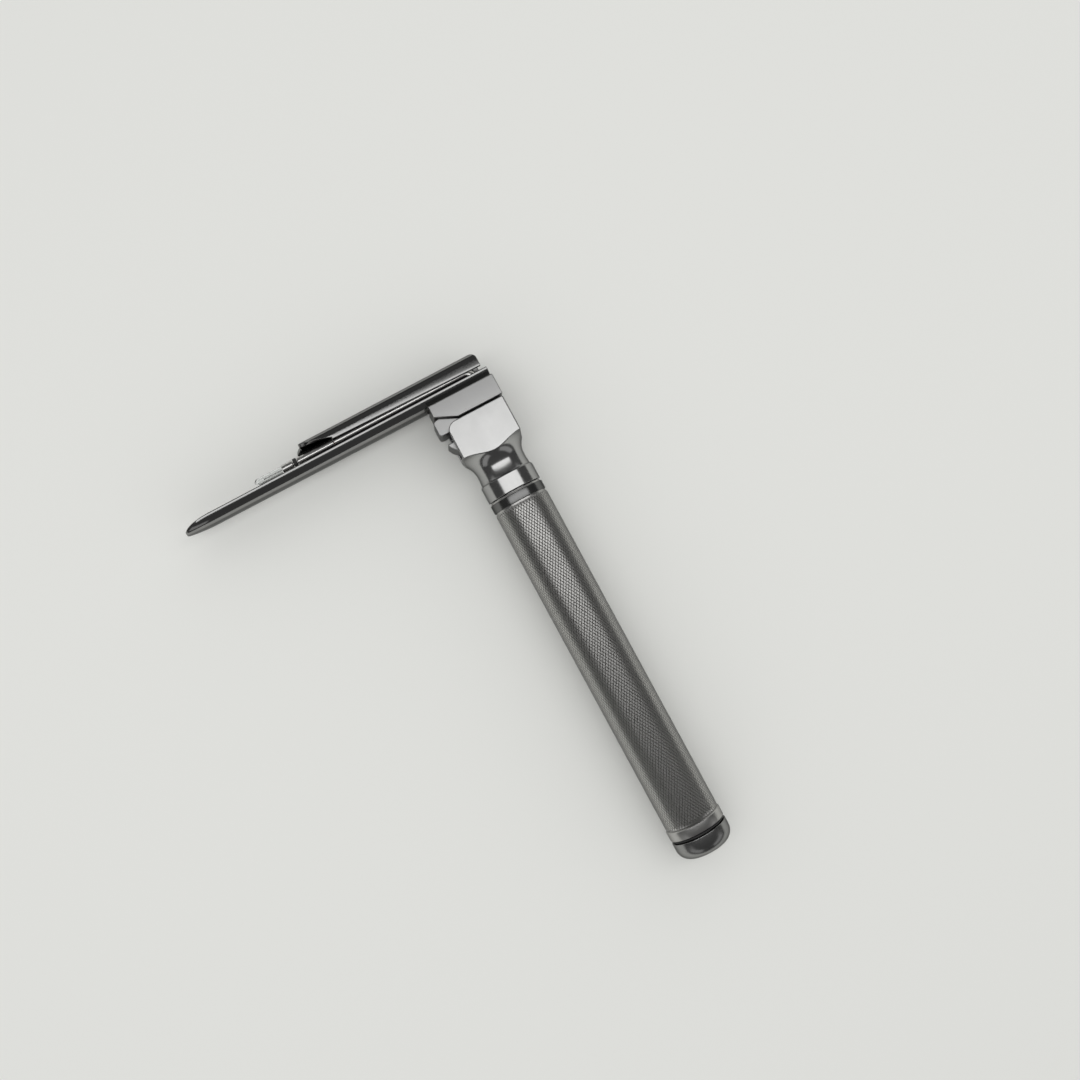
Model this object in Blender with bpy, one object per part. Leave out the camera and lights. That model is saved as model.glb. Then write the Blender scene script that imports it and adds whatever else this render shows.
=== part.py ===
"""Laryngoscope: a hook-on handle with a straight blade, lying on its side.

The model is built about a datum: x = 0 and z = 0 on the handle's axis, y = 0 at the top of the head's cheeks.
The handle runs along -Y, the blade points along -X, and Z runs across the blade, with the lamp side up.
"""

import math

import bmesh
import bpy
import numpy as np
from mathutils import Matrix, Vector

MM = 0.001

# Fits
SEAT_GAP = 0.3 * MM
RUN_GAP = 0.15 * MM
SLOT_GAP = 0.35 * MM

# Handle tube
TUBE_RADIUS = 8.5 * MM
TUBE_WALL = 1.1 * MM
TUBE_LENGTH = 112.2 * MM
RIM_STEP = 0.25 * MM
RIM_HEIGHT = 2.9 * MM
GROOVE_DEPTH = 0.35 * MM
GROOVE_WIDTH = 0.5 * MM
PLAIN_BAND = 3.2 * MM

# Head
CHEEK_HALF = 9.4 * MM
CHEEK_THICKNESS = 2.7 * MM
CHEEK_CORNER = 3.0 * MM
SLOT_DEPTH = 10.0 * MM
FLAT_CORNER_DEPTH = 11.0 * MM
TURNING_MARGIN = 0.1 * MM
NECK_RADIUS = 7.8 * MM
NECK_DEPTH = 17.1 * MM
COLLAR_DEPTH = 20.3 * MM
COLLAR_HEIGHT = 5.3 * MM
SPIGOT_LENGTH = 4.4 * MM
HEAD_EDGE = 0.4 * MM

# Hook
PIN_RADIUS = 1.3 * MM
PIN_X = -6.2 * MM
PIN_DEPTH = 3.5 * MM
PIN_RECESS = 0.3 * MM
PIN_BLIND = 1.4 * MM
HOOK_RADIUS = 5.3 * MM
NOSE_REACH = 2.7 * MM
NOSE_TOP = 2.9 * MM
NOSE_EDGE = 1.0 * MM

# Heel
BLOCK_FRONT = -11.3 * MM
BLOCK_REAR = 9.75 * MM
BLOCK_RISE = 0.6 * MM
BLOCK_TOP = 7.15 * MM
BLOCK_HALF_WIDTH = 8.9 * MM
BLOCK_CHAMFER_LENGTH = 6.5 * MM
BLOCK_CHAMFER_HEIGHT = 3.0 * MM
BLOCK_EDGE = 0.4 * MM
TONGUE_REAR = 9.0 * MM

# Blade body
BLADE_FLOOR = 6.9 * MM
BLADE_TIP = -89.9 * MM
BLADE_REAR = 9.6 * MM
BLADE_WALL = 1.2 * MM
BLADE_HALF_WIDTH = 6.0 * MM
BLADE_END_HALF_WIDTH = 5.0 * MM
BLADE_HEIGHT = 9.1 * MM
NEAR_EDGE = 3.3 * MM
TROUGH_CORNER = 3.0 * MM
FLANGE_CORNER = 2.6 * MM
FLANGE_REAR = 8.3 * MM
FLANGE_FRONT = -51.5 * MM
FLANGE_END_CORNER = 2.0 * MM
LIP_EDGE_REAR = 4.3 * MM
LIP_EDGE_FRONT = 5.4 * MM
LIP_STEP_X = -39.8 * MM
LIP_STEP = 0.7 * MM
TIP_LENGTH = 9.0 * MM
TIP_RISE = 0.6 * MM
TIP_BLUNT = 0.3
TROUGH_SHARE = 0.6

# Light tube, lamp and lead
LIGHT_RADIUS = 1.25 * MM
LIGHT_BORE = 0.85 * MM
LIGHT_HEIGHT = 4.6 * MM
LIGHT_Z = 3.0 * MM
LIGHT_DROP_X = 5.0 * MM
LIGHT_BEND = 2.4 * MM
SOCKET_RADIUS = 1.15 * MM
SOCKET_REAR = -40.1 * MM
SOCKET_FRONT = -51.6 * MM
SOCKET_SPIGOT = 4.0 * MM
SOCKET_BORE = 0.6 * MM
SOCKET_THREAD = 0.85 * MM
SOCKET_THREAD_DEPTH = 5.0 * MM
LAMP_RING_RADIUS = 1.4 * MM
LAMP_RING_WIDTH = 1.1 * MM
LAMP_RADIUS = 1.25 * MM
LAMP_BASE_LENGTH = 3.4 * MM
LAMP_STEM_LENGTH = 3.6 * MM
LAMP_GLASS_LENGTH = 8.6 * MM
LAMP_GLASS_WALL = 0.35 * MM
LEAD_RADIUS = 0.4 * MM

# Heel contact and detents
POCKET_FRONT = -3.0 * MM
POCKET_REAR = 7.2 * MM
POCKET_HALF_WIDTH = 5.0 * MM
POCKET_DEPTH = 2.7 * MM
PLATE_THICKNESS = 1.3 * MM
RIVET_RADIUS = 0.9 * MM
RIVET_HEAD_RADIUS = 1.7 * MM
RIVET_HEAD = 0.3 * MM
RIVET_TAIL = 0.3 * MM
BALL_RADIUS = 1.25 * MM
BALL_PROUD = 0.25 * MM
BALL_X = 0.0 * MM
BALL_DEPTH = 2.6 * MM
BALL_BORE_WEB = 2.0 * MM
DETENT_WIRE = 0.15 * MM
DETENT_TURNS = 4

# Handle contact
BUSH_RADIUS = 3.7 * MM
BUSH_LIP = 2.0 * MM
BUSH_CHAMBER = 2.7 * MM
BUSH_FLANGE_RADIUS = 5.6 * MM
BUSH_FLANGE = 1.1 * MM
PLUNGER_RADIUS = 1.4 * MM
PLUNGER_FLANGE_RADIUS = 2.4 * MM
PLUNGER_FLANGE = 1.2 * MM
PLUNGER_TAIL = 2.2 * MM
PLUNGER_TAIL_RADIUS = 1.0 * MM
CONTACT_WIRE = 0.25 * MM
CONTACT_TURNS = 7
TERMINAL_LENGTH = 3.8 * MM
TERMINAL_PROUD = 0.5 * MM

# Cells, battery spring and cap
CELL_NUB_RADIUS = 2.75 * MM
CELL_NUB = 1.2 * MM
CELL_EDGE = 0.5 * MM
CAP_HEIGHT = 6.2 * MM
CAP_CORNER = 3.9 * MM
CAP_SPIGOT = 4.2 * MM
CAP_SPIGOT_WALL = 1.5 * MM
CAP_FLOOR = 2.7 * MM
SEAL_THICKNESS = 0.4 * MM
SEAL_INSET = 0.5 * MM
SPRING_WIRE = 0.4 * MM
SPRING_TOP_RADIUS = 3.0 * MM
SPRING_TURNS = 4
SPRING_ROOM = 9.1 * MM

# Facets of round forms
FINE_STEPS = 48
ROUND_STEPS = 32
SMALL_STEPS = 16
ARC_STEPS = 5
COVE_STEPS = 8
BEND_STEPS = 8
NOSE_STEPS = 3
COIL_STEPS = 12
TUBE_SIDES = 12

# Levels along the handle, down from the cheeks' top
COLLAR_END = -(COLLAR_DEPTH + COLLAR_HEIGHT)
TUBE_TOP = COLLAR_END - SEAT_GAP
TUBE_END = TUBE_TOP - TUBE_LENGTH
TUBE_BORE = TUBE_RADIUS - TUBE_WALL
RIM_RADIUS = TUBE_RADIUS + RIM_STEP
SPIGOT_RADIUS = TUBE_BORE - SEAT_GAP
CELL_RADIUS = TUBE_BORE - SEAT_GAP
CAP_BORE = SPIGOT_RADIUS - CAP_SPIGOT_WALL
SPIGOT_END = COLLAR_END - SPIGOT_LENGTH
BUSH_END = SPIGOT_END - SEAT_GAP - BUSH_FLANGE
TERMINAL_END = BUSH_END - TERMINAL_PROUD
CELL_TOP = TERMINAL_END - SEAT_GAP
SEAL_TOP = TUBE_END - SEAT_GAP
CAP_SHOULDER = SEAL_TOP - SEAL_THICKNESS - SEAT_GAP
CAP_END = CAP_SHOULDER - CAP_HEIGHT
CELLS_END = CAP_END + CAP_FLOOR + SPRING_ROOM
CELL_FULL = (CELL_TOP - CELLS_END - SEAT_GAP) / 2
CELL_LENGTH = CELL_FULL - CELL_NUB
SECOND_CELL_TOP = CELL_TOP - CELL_FULL - SEAT_GAP

# Levels of the heel and the blade
SLOT_HALF = CHEEK_HALF - CHEEK_THICKNESS
TONGUE_HALF = SLOT_HALF - SLOT_GAP
TONGUE_BOTTOM = -PIN_DEPTH - HOOK_RADIUS
NOTCH_HALF = PIN_RADIUS + RUN_GAP
CONTACT_FACE = TONGUE_BOTTOM - RIVET_HEAD
PLUNGER_TOP = CONTACT_FACE - SEAT_GAP
POCKET_TOP = TONGUE_BOTTOM + POCKET_DEPTH
LIGHT_Y = BLADE_FLOOR + LIGHT_HEIGHT
BLADE_TOP = BLADE_FLOOR + BLADE_HEIGHT
LAMP_RING_FRONT = SOCKET_FRONT - SEAT_GAP - LAMP_RING_WIDTH
LAMP_BASE_REAR = LAMP_RING_FRONT - SEAT_GAP
LAMP_GLASS_REAR = LAMP_BASE_REAR - LAMP_BASE_LENGTH - SEAT_GAP

# Points on the joint axes
PIN_POINT = Vector((PIN_X, -PIN_DEPTH, 0.0))
HANDLE_POINT = Vector((0.0, 0.0, 0.0))
LAMP_POINT = Vector((SOCKET_FRONT, LIGHT_Y, LIGHT_Z))
BALL_POINT = Vector((BALL_X, -BALL_DEPTH, 0.0))

# The datum's place, with the object's box centred on the origin and its lowest face on z = 0
LOWEST = max(CHEEK_HALF, RIM_RADIUS)
DATUM = Vector((-(BLADE_TIP + BLOCK_REAR) / 2, -(CAP_END + BLADE_TOP) / 2, LOWEST))


def clear_scene():
    """Remove every object that the scene starts with."""
    for item in list(bpy.data.objects):
        bpy.data.objects.remove(item, do_unlink=True)


def material(name, colour, metallic, roughness):
    """Make a Principled material."""
    made = bpy.data.materials.new(name)
    made.use_nodes = True
    shader = made.node_tree.nodes["Principled BSDF"]
    shader.inputs["Base Color"].default_value = (*colour, 1.0)
    shader.inputs["Metallic"].default_value = metallic
    shader.inputs["Roughness"].default_value = roughness
    return made


def place(item, finish, pivot):
    """Put an object under the datum with its origin on the given point, and give it its finish."""
    item.data.transform(Matrix.Translation(-pivot))
    item.data.materials.append(finish)
    item.parent = bpy.data.objects["datum"]
    item.location = pivot
    return item


def mesh_object(name, bm):
    """Turn a bmesh into an object with outward faces and smooth round sides."""
    bmesh.ops.remove_doubles(bm, verts=bm.verts, dist=1e-7)
    bmesh.ops.recalc_face_normals(bm, faces=bm.faces)
    mesh = bpy.data.meshes.new(name)
    bm.to_mesh(mesh)
    bm.free()
    mesh.shade_smooth()
    mesh.set_sharp_from_angle(angle=math.radians(30))
    item = bpy.data.objects.new(name, mesh)
    bpy.context.scene.collection.objects.link(item)
    return item


def arc(centre, radius, start, end, steps=ARC_STEPS):
    """Points on a circle's arc, from one angle to another, in degrees."""
    angles = np.radians(np.linspace(start, end, steps + 1))
    return [(centre[0] + radius * math.cos(a), centre[1] + radius * math.sin(a)) for a in angles]


def turned(name, profile, steps, frame=None):
    """Spin a profile of (radius, height) points about Y; a profile off the axis is a closed loop."""
    bm = bmesh.new()
    verts = [bm.verts.new((r, h, 0.0)) for r, h in profile]
    edges = [bm.edges.new(pair) for pair in zip(verts, verts[1:])]
    if profile[0][0] > 0.0 and profile[-1][0] > 0.0:
        edges.append(bm.edges.new((verts[-1], verts[0])))
    bmesh.ops.spin(
        bm, geom=verts + edges, cent=(0, 0, 0), axis=(0, 1, 0), angle=2 * math.pi, steps=steps, use_merge=True
    )
    if frame is not None:
        bm.transform(frame)
    return mesh_object(name, bm)


def along_x(centre):
    """A frame that lays a turned piece's axis along +X through the given point."""
    return Matrix.Translation(centre) @ Matrix.Rotation(math.radians(-90), 4, "Z")


def along_z(centre):
    """A frame that lays a turned piece's axis along +Z through the given point."""
    return Matrix.Translation(centre) @ Matrix.Rotation(math.radians(90), 4, "X")


def rod(name, radius, low, high, steps, frame=None):
    """A plain round bar between two heights."""
    return turned(name, [(0.0, high), (radius, high), (radius, low), (0.0, low)], steps, frame)


def extruded(name, outline, low, high):
    """Extrude an outline in the XY plane between two levels of Z."""
    bm = bmesh.new()
    face = bm.faces.new([bm.verts.new((x, y, low)) for x, y in outline])
    lifted = bmesh.ops.extrude_face_region(bm, geom=[face])
    moved = [part for part in lifted["geom"] if isinstance(part, bmesh.types.BMVert)]
    bmesh.ops.translate(bm, verts=moved, vec=(0, 0, high - low))
    return mesh_object(name, bm)


def along_x_bar(name, outline, low, high):
    """Extrude an outline of (z, y) points along X."""
    bm = bmesh.new()
    face = bm.faces.new([bm.verts.new((low, y, z)) for z, y in outline])
    lifted = bmesh.ops.extrude_face_region(bm, geom=[face])
    moved = [part for part in lifted["geom"] if isinstance(part, bmesh.types.BMVert)]
    bmesh.ops.translate(bm, verts=moved, vec=(high - low, 0, 0))
    return mesh_object(name, bm)


def cut(item, tool, operation="DIFFERENCE"):
    """Apply a Boolean with a hidden tool to an object."""
    tool.parent = bpy.data.objects["datum"]
    tool.hide_render = True
    tool.display_type = "WIRE"
    step = item.modifiers.new(tool.name, "BOOLEAN")
    step.operation = operation
    step.solver = "EXACT"
    step.object = tool


def bevelled(item, width):
    """Break an object's sharp edges."""
    step = item.modifiers.new("edge", "BEVEL")
    step.width = width
    step.segments = 2
    step.limit_method = "ANGLE"
    step.angle_limit = math.radians(40)


def shell(name, outer, inner, present, closed):
    """Skin a wall between two grids of points, closing every edge of the cells that are present."""
    bm = bmesh.new()
    rows, columns = present.shape
    width = outer.shape[1]
    skins = [[[bm.verts.new(p) for p in row] for row in skin] for skin in (outer, inner)]

    def corner(skin, i, j):
        return skins[skin][i][j % width]

    def there(i, j):
        column = j % columns if closed else j
        return 0 <= i < rows and 0 <= column < columns and present[i, column]

    for i, j in zip(*np.nonzero(present)):
        ring = [(i, j), (i, j + 1), (i + 1, j + 1), (i + 1, j)]
        for skin in (0, 1):
            bm.faces.new([corner(skin, *point) for point in ring])
        sides = [(i - 1, j), (i, j + 1), (i + 1, j), (i, j - 1)]
        for side, (first, second) in zip(sides, zip(ring, ring[1:] + ring[:1])):
            if not there(*side):
                bm.faces.new([corner(0, *first), corner(0, *second), corner(1, *second), corner(1, *first)])
    loose = [vert for vert in bm.verts if not vert.link_faces]
    bmesh.ops.delete(bm, geom=loose, context="VERTS")
    return mesh_object(name, bm)


def coil(name, start, end, base_radius, top_radius, wire, turns, axis_frame):
    """A wound spring: a helix along Y between two heights, its radius running from base to top."""
    share = np.linspace(0.0, 1.0, turns * COIL_STEPS + 1)
    angle = 2 * math.pi * turns * share
    radius = base_radius + (top_radius - base_radius) * share
    height = start + (end - start) * share
    curve = bpy.data.curves.new(name, "CURVE")
    curve.dimensions = "3D"
    curve.bevel_depth = wire
    curve.bevel_resolution = 1
    curve.use_fill_caps = True
    spline = curve.splines.new("POLY")
    spline.points.add(len(share) - 1)
    for point, r, h, a in zip(spline.points, radius, height, angle):
        place_at = axis_frame @ Vector((r * math.cos(a), h, r * math.sin(a)))
        point.co = (*place_at, 1.0)
    item = bpy.data.objects.new(name, curve)
    bpy.context.scene.collection.objects.link(item)
    return item


def light_route(front, low):
    """The light tube's line: along the blade, round a bend at the heel and down into the tongue."""
    run = [(x, LIGHT_Y) for x in np.linspace(front, LIGHT_DROP_X - LIGHT_BEND, BEND_STEPS)]
    bend = arc((LIGHT_DROP_X - LIGHT_BEND, LIGHT_Y - LIGHT_BEND), LIGHT_BEND, 90, 0, BEND_STEPS)
    drop = [(LIGHT_DROP_X, y) for y in np.linspace(LIGHT_Y - LIGHT_BEND, low, ARC_STEPS)]
    return [Vector((x, y, LIGHT_Z)) for x, y in run + bend[1:] + drop[1:]]


def route_rings(route, radius, sides):
    """Rings of points square to a route that lies in one plane of Z."""
    line = np.array(route)
    heading = np.gradient(line, axis=0)
    heading /= np.linalg.norm(heading, axis=1)[:, None]
    across = np.stack([-heading[:, 1], heading[:, 0], np.zeros(len(line))], axis=1)
    angle = np.linspace(0, 2 * math.pi, sides, endpoint=False)
    side_part = np.cos(angle)[None, :, None] * across[:, None, :]
    up_part = np.sin(angle)[None, :, None] * np.array([0.0, 0.0, 1.0])
    return line[:, None, :] + radius * (side_part + up_part)


def neck_profile(reach):
    """The turned neck: a quarter ellipse from the head's corners in to the waist, then an easy flare."""
    wide = reach - NECK_RADIUS
    tall = NECK_DEPTH - FLAT_CORNER_DEPTH
    angles = np.linspace(math.pi / 2, 0.0, COVE_STEPS + 1)
    points = [(reach - wide * math.cos(a), -NECK_DEPTH + tall * math.sin(a)) for a in angles]
    rise = TUBE_RADIUS - HEAD_EDGE - NECK_RADIUS
    drop = COLLAR_DEPTH - NECK_DEPTH
    shares = np.linspace(0.0, 1.0, ARC_STEPS)[1:]
    return points + [(NECK_RADIUS + rise * share**2, -NECK_DEPTH - drop * share) for share in shares]


def make_head(chrome, steel):
    """The forked head: a square block turned down to a neck and a collar, slotted for the tongue."""
    reach = CHEEK_HALF * math.sqrt(2) + TURNING_MARGIN
    profile = [(0.0, MM), (reach, MM)]
    profile += neck_profile(reach)
    profile += [(TUBE_RADIUS, -COLLAR_DEPTH - HEAD_EDGE), (TUBE_RADIUS, COLLAR_END + HEAD_EDGE)]
    profile += [(TUBE_RADIUS - HEAD_EDGE, COLLAR_END), (SPIGOT_RADIUS, COLLAR_END)]
    profile += [(SPIGOT_RADIUS, SPIGOT_END), (0.0, SPIGOT_END)]
    head = turned("head", profile, FINE_STEPS)
    low = SPIGOT_END - MM
    front = -CHEEK_HALF
    side = [(front, low), (CHEEK_HALF, low), (CHEEK_HALF, 0.0)]
    side += arc((front + CHEEK_CORNER, -CHEEK_CORNER), CHEEK_CORNER, 90, 180)
    prism = extruded("head_prism", side, -CHEEK_HALF, CHEEK_HALF)
    cut(head, prism, "INTERSECT")
    wide = CHEEK_HALF + MM
    slot_side = [(-wide, -SLOT_DEPTH), (wide, -SLOT_DEPTH), (wide, MM), (-wide, MM)]
    cut(head, extruded("head_slot", slot_side, -SLOT_HALF, SLOT_HALF))
    pin_hole = rod("pin_hole", PIN_RADIUS + RUN_GAP, -wide, SLOT_HALF + PIN_BLIND, SMALL_STEPS, along_z(PIN_POINT))
    cut(head, pin_hole)
    cut(head, rod("bush_hole", BUSH_RADIUS + SEAT_GAP, SPIGOT_END - MM, -SLOT_DEPTH + MM, ROUND_STEPS))
    place(head, chrome, HANDLE_POINT)
    far_end = -CHEEK_HALF + PIN_RECESS
    pin = rod("hook_pin", PIN_RADIUS, far_end, SLOT_HALF + PIN_BLIND - SEAT_GAP, SMALL_STEPS, along_z(PIN_POINT))
    place(pin, steel, HANDLE_POINT)


def make_tube(chrome):
    """The handle tube: a plain band with two fine grooves, the grip and a rim at its mouth."""
    deep = TUBE_RADIUS - GROOVE_DEPTH
    profile = [(TUBE_BORE, TUBE_TOP), (deep, TUBE_TOP), (deep, TUBE_TOP - GROOVE_WIDTH)]
    grip_top = TUBE_TOP - PLAIN_BAND
    profile += [(TUBE_RADIUS, TUBE_TOP - GROOVE_WIDTH), (TUBE_RADIUS, grip_top), (deep, grip_top)]
    profile += [(deep, grip_top - GROOVE_WIDTH), (TUBE_RADIUS, grip_top - GROOVE_WIDTH)]
    rim_top = TUBE_END + RIM_HEIGHT
    profile += [(TUBE_RADIUS, rim_top + RIM_STEP), (RIM_RADIUS, rim_top), (RIM_RADIUS, TUBE_END)]
    profile += [(TUBE_BORE, TUBE_END)]
    place(turned("handle_tube", profile, FINE_STEPS), chrome, HANDLE_POINT)


def make_contact(plastic, brass, steel):
    """The sprung contact in the head: insulating bush, plunger, spring and battery terminal."""
    top = -SLOT_DEPTH - SEAT_GAP
    hole = PLUNGER_RADIUS + SEAT_GAP
    ledge = top - BUSH_LIP
    flange_top = BUSH_END + BUSH_FLANGE
    profile = [(hole, top), (BUSH_RADIUS, top), (BUSH_RADIUS, flange_top), (BUSH_FLANGE_RADIUS, flange_top)]
    profile += [(BUSH_FLANGE_RADIUS, BUSH_END), (BUSH_CHAMBER, BUSH_END), (BUSH_CHAMBER, ledge), (hole, ledge)]
    place(turned("contact_insulator", profile, ROUND_STEPS), plastic, HANDLE_POINT)
    flange = ledge - SEAT_GAP
    tail_top = flange - PLUNGER_FLANGE
    dome = PLUNGER_RADIUS / 3
    profile = [(0.0, PLUNGER_TOP), (PLUNGER_RADIUS - dome, PLUNGER_TOP), (PLUNGER_RADIUS, PLUNGER_TOP - dome)]
    profile += [(PLUNGER_RADIUS, flange), (PLUNGER_FLANGE_RADIUS, flange), (PLUNGER_FLANGE_RADIUS, tail_top)]
    profile += [(PLUNGER_TAIL_RADIUS, tail_top), (PLUNGER_TAIL_RADIUS, tail_top - PLUNGER_TAIL)]
    profile += [(0.0, tail_top - PLUNGER_TAIL)]
    place(turned("contact_plunger", profile, SMALL_STEPS), brass, HANDLE_POINT)
    terminal_top = TERMINAL_END + TERMINAL_LENGTH
    terminal = BUSH_CHAMBER - SEAT_GAP
    place(rod("contact_terminal", terminal, TERMINAL_END, terminal_top, SMALL_STEPS), brass, HANDLE_POINT)
    winding = PLUNGER_FLANGE_RADIUS - CONTACT_WIRE
    low = terminal_top + SEAT_GAP + CONTACT_WIRE
    high = tail_top - SEAT_GAP - CONTACT_WIRE
    spring = coil(
        "contact_spring", low, high, winding, winding, CONTACT_WIRE, CONTACT_TURNS, Matrix.Identity(4)
    )
    place(spring, steel, HANDLE_POINT)


def make_cell(name, top, wrap):
    """A round dry cell with its raised terminal up."""
    shoulder = top - CELL_NUB
    end = shoulder - CELL_LENGTH
    profile = [(0.0, top), (CELL_NUB_RADIUS, top), (CELL_NUB_RADIUS, shoulder), (CELL_RADIUS - CELL_EDGE, shoulder)]
    profile += [(CELL_RADIUS, shoulder - CELL_EDGE), (CELL_RADIUS, end + CELL_EDGE)]
    profile += [(CELL_RADIUS - CELL_EDGE, end), (0.0, end)]
    place(turned(name, profile, ROUND_STEPS), wrap, HANDLE_POINT)


def make_cap(chrome, steel, rubber):
    """The screw cap with its hollow spigot, the battery spring seated in it, and the seal above it."""
    floor = CAP_END + CAP_FLOOR
    spigot_top = CAP_SHOULDER + CAP_SPIGOT
    profile = [(0.0, floor), (CAP_BORE, floor), (CAP_BORE, spigot_top), (SPIGOT_RADIUS, spigot_top)]
    profile += [(SPIGOT_RADIUS, CAP_SHOULDER), (RIM_RADIUS, CAP_SHOULDER)]
    profile += arc((RIM_RADIUS - CAP_CORNER, CAP_END + CAP_CORNER), CAP_CORNER, 0, -90, COVE_STEPS)
    profile += [(0.0, CAP_END)]
    place(turned("bottom_cap", profile, FINE_STEPS), chrome, HANDLE_POINT)
    outer = RIM_RADIUS - SEAL_INSET
    inner = SPIGOT_RADIUS + SEAT_GAP
    low = SEAL_TOP - SEAL_THICKNESS
    ring = [(inner, SEAL_TOP), (outer, SEAL_TOP), (outer, low), (inner, low)]
    place(turned("cap_seal", ring, FINE_STEPS), rubber, HANDLE_POINT)
    base = CAP_BORE - SEAT_GAP - SPRING_WIRE
    start = floor + SEAT_GAP + SPRING_WIRE
    end = CELLS_END - SEAT_GAP - SPRING_WIRE
    spring = coil(
        "battery_spring", start, end, base, SPRING_TOP_RADIUS, SPRING_WIRE, SPRING_TURNS, Matrix.Identity(4)
    )
    place(spring, steel, HANDLE_POINT)


def section(half_width, edge, lip, floor, offset):
    """The blade's C-shaped section as (z, y) points, set in from its outer skin by an offset.

    It runs from the near edge down round the trough, up the far web, over the flange and down the near lip.
    """
    low = floor + offset
    high = BLADE_HEIGHT - offset
    wide = half_width - offset
    trough = min(TROUGH_CORNER, half_width * TROUGH_SHARE)
    trough_in = trough - offset
    flange_in = FLANGE_CORNER - offset
    points = [(wide, edge)]
    points += arc((half_width - trough, floor + trough), trough_in, 0, -90)
    points += [(0.0, low)]
    points += arc((trough - half_width, floor + trough), trough_in, -90, -180)
    points += [(-wide, edge)]
    points += [(-wide, (edge + BLADE_HEIGHT - FLANGE_CORNER) / 2)]
    points += arc((FLANGE_CORNER - half_width, BLADE_HEIGHT - FLANGE_CORNER), flange_in, 180, 90)
    points += [(0.0, high)]
    points += arc((half_width - FLANGE_CORNER, BLADE_HEIGHT - FLANGE_CORNER), flange_in, 90, 0)
    points += [(wide, lip + LIP_STEP), (wide, lip)]
    return points


def flange_limits(heights, lip_side, lip):
    """Where the flange starts and ends along X at each height of the section."""
    rear_corner = np.clip(heights - (BLADE_HEIGHT - FLANGE_END_CORNER), 0.0, FLANGE_END_CORNER)
    round_in = FLANGE_END_CORNER - np.sqrt(FLANGE_END_CORNER**2 - rear_corner**2)
    rear = FLANGE_REAR - round_in
    front = FLANGE_FRONT + round_in
    fall = np.clip((BLADE_HEIGHT - heights) / (BLADE_HEIGHT - lip - LIP_STEP), 0.0, 1.0)
    slanted = FLANGE_FRONT + FLANGE_END_CORNER + (LIP_STEP_X - FLANGE_FRONT - FLANGE_END_CORNER) * fall
    return rear, np.where(lip_side, slanted, front)


def make_blade(chrome):
    """The blade: a trough for its whole length, with the web, flange and lip bent up from it over the rear part."""
    flange_stations = np.linspace(0.0, 1.0, 15)
    reach = FLANGE_FRONT - BLADE_TIP
    straight = np.linspace(0.0, 1.0 - TIP_LENGTH / reach, 4)[1:]
    tip = 1.0 - TIP_LENGTH / reach * (1.0 - np.sin(np.linspace(0.0, math.pi / 2, 8)[1:]))
    stations = np.concatenate([flange_stations, 1.0 + straight, 1.0 + tip])
    skins = []
    for offset in (0.0, BLADE_WALL):
        rows = []
        for share in stations:
            along = min(share, 1.0)
            beyond = max(share - 1.0, 0.0)
            base_x = BLADE_REAR + (FLANGE_FRONT - BLADE_REAR) * along - reach * beyond
            taper = (BLADE_REAR - base_x) / (BLADE_REAR - BLADE_TIP)
            half_width = BLADE_HALF_WIDTH + (BLADE_END_HALF_WIDTH - BLADE_HALF_WIDTH) * taper
            into_tip = np.clip(1.0 - (base_x - BLADE_TIP) / TIP_LENGTH, 0.0, 1.0)
            round_off = math.sqrt(1.0 - (1.0 - TIP_BLUNT**2) * into_tip**2)
            floor = TIP_RISE * into_tip**2
            half_width *= round_off
            corner = min(TROUGH_CORNER, half_width * TROUGH_SHARE)
            edge = floor + max(corner, NEAR_EDGE * round_off)
            lip = LIP_EDGE_REAR + (LIP_EDGE_FRONT - LIP_EDGE_REAR) * along
            points = np.array(section(half_width, edge, lip, floor, offset))
            count = len(points)
            upper = np.arange(count) > trough_columns(count)
            lip_side = np.arange(count) >= count - ARC_STEPS - 3
            rear, front = flange_limits(points[:, 1], lip_side, lip)
            x = np.where(upper, rear + (front - rear) * along, base_x)
            rows.append(np.stack([x, points[:, 1] + BLADE_FLOOR, points[:, 0]], axis=1))
        skins.append(np.array(rows))
    present = np.ones((len(stations) - 1, skins[0].shape[1] - 1), dtype=bool)
    present[len(flange_stations) - 1 :, trough_columns(skins[0].shape[1]) :] = False
    blade = shell("blade_body", skins[0], skins[1], present, closed=False)
    hole = LIGHT_RADIUS + SEAT_GAP
    drop = Vector((LIGHT_DROP_X, 0.0, LIGHT_Z))
    low = BLADE_FLOOR - MM
    cut(blade, rod("blade_hole", hole, low, LIGHT_Y - LIGHT_BEND, SMALL_STEPS, Matrix.Translation(drop)))
    place(blade, chrome, PIN_POINT)


def trough_columns(count):
    """How many cells of a section of so many points belong to the trough."""
    arc_points = ARC_STEPS + 1
    return min(count, 1 + arc_points + 1 + arc_points)


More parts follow.
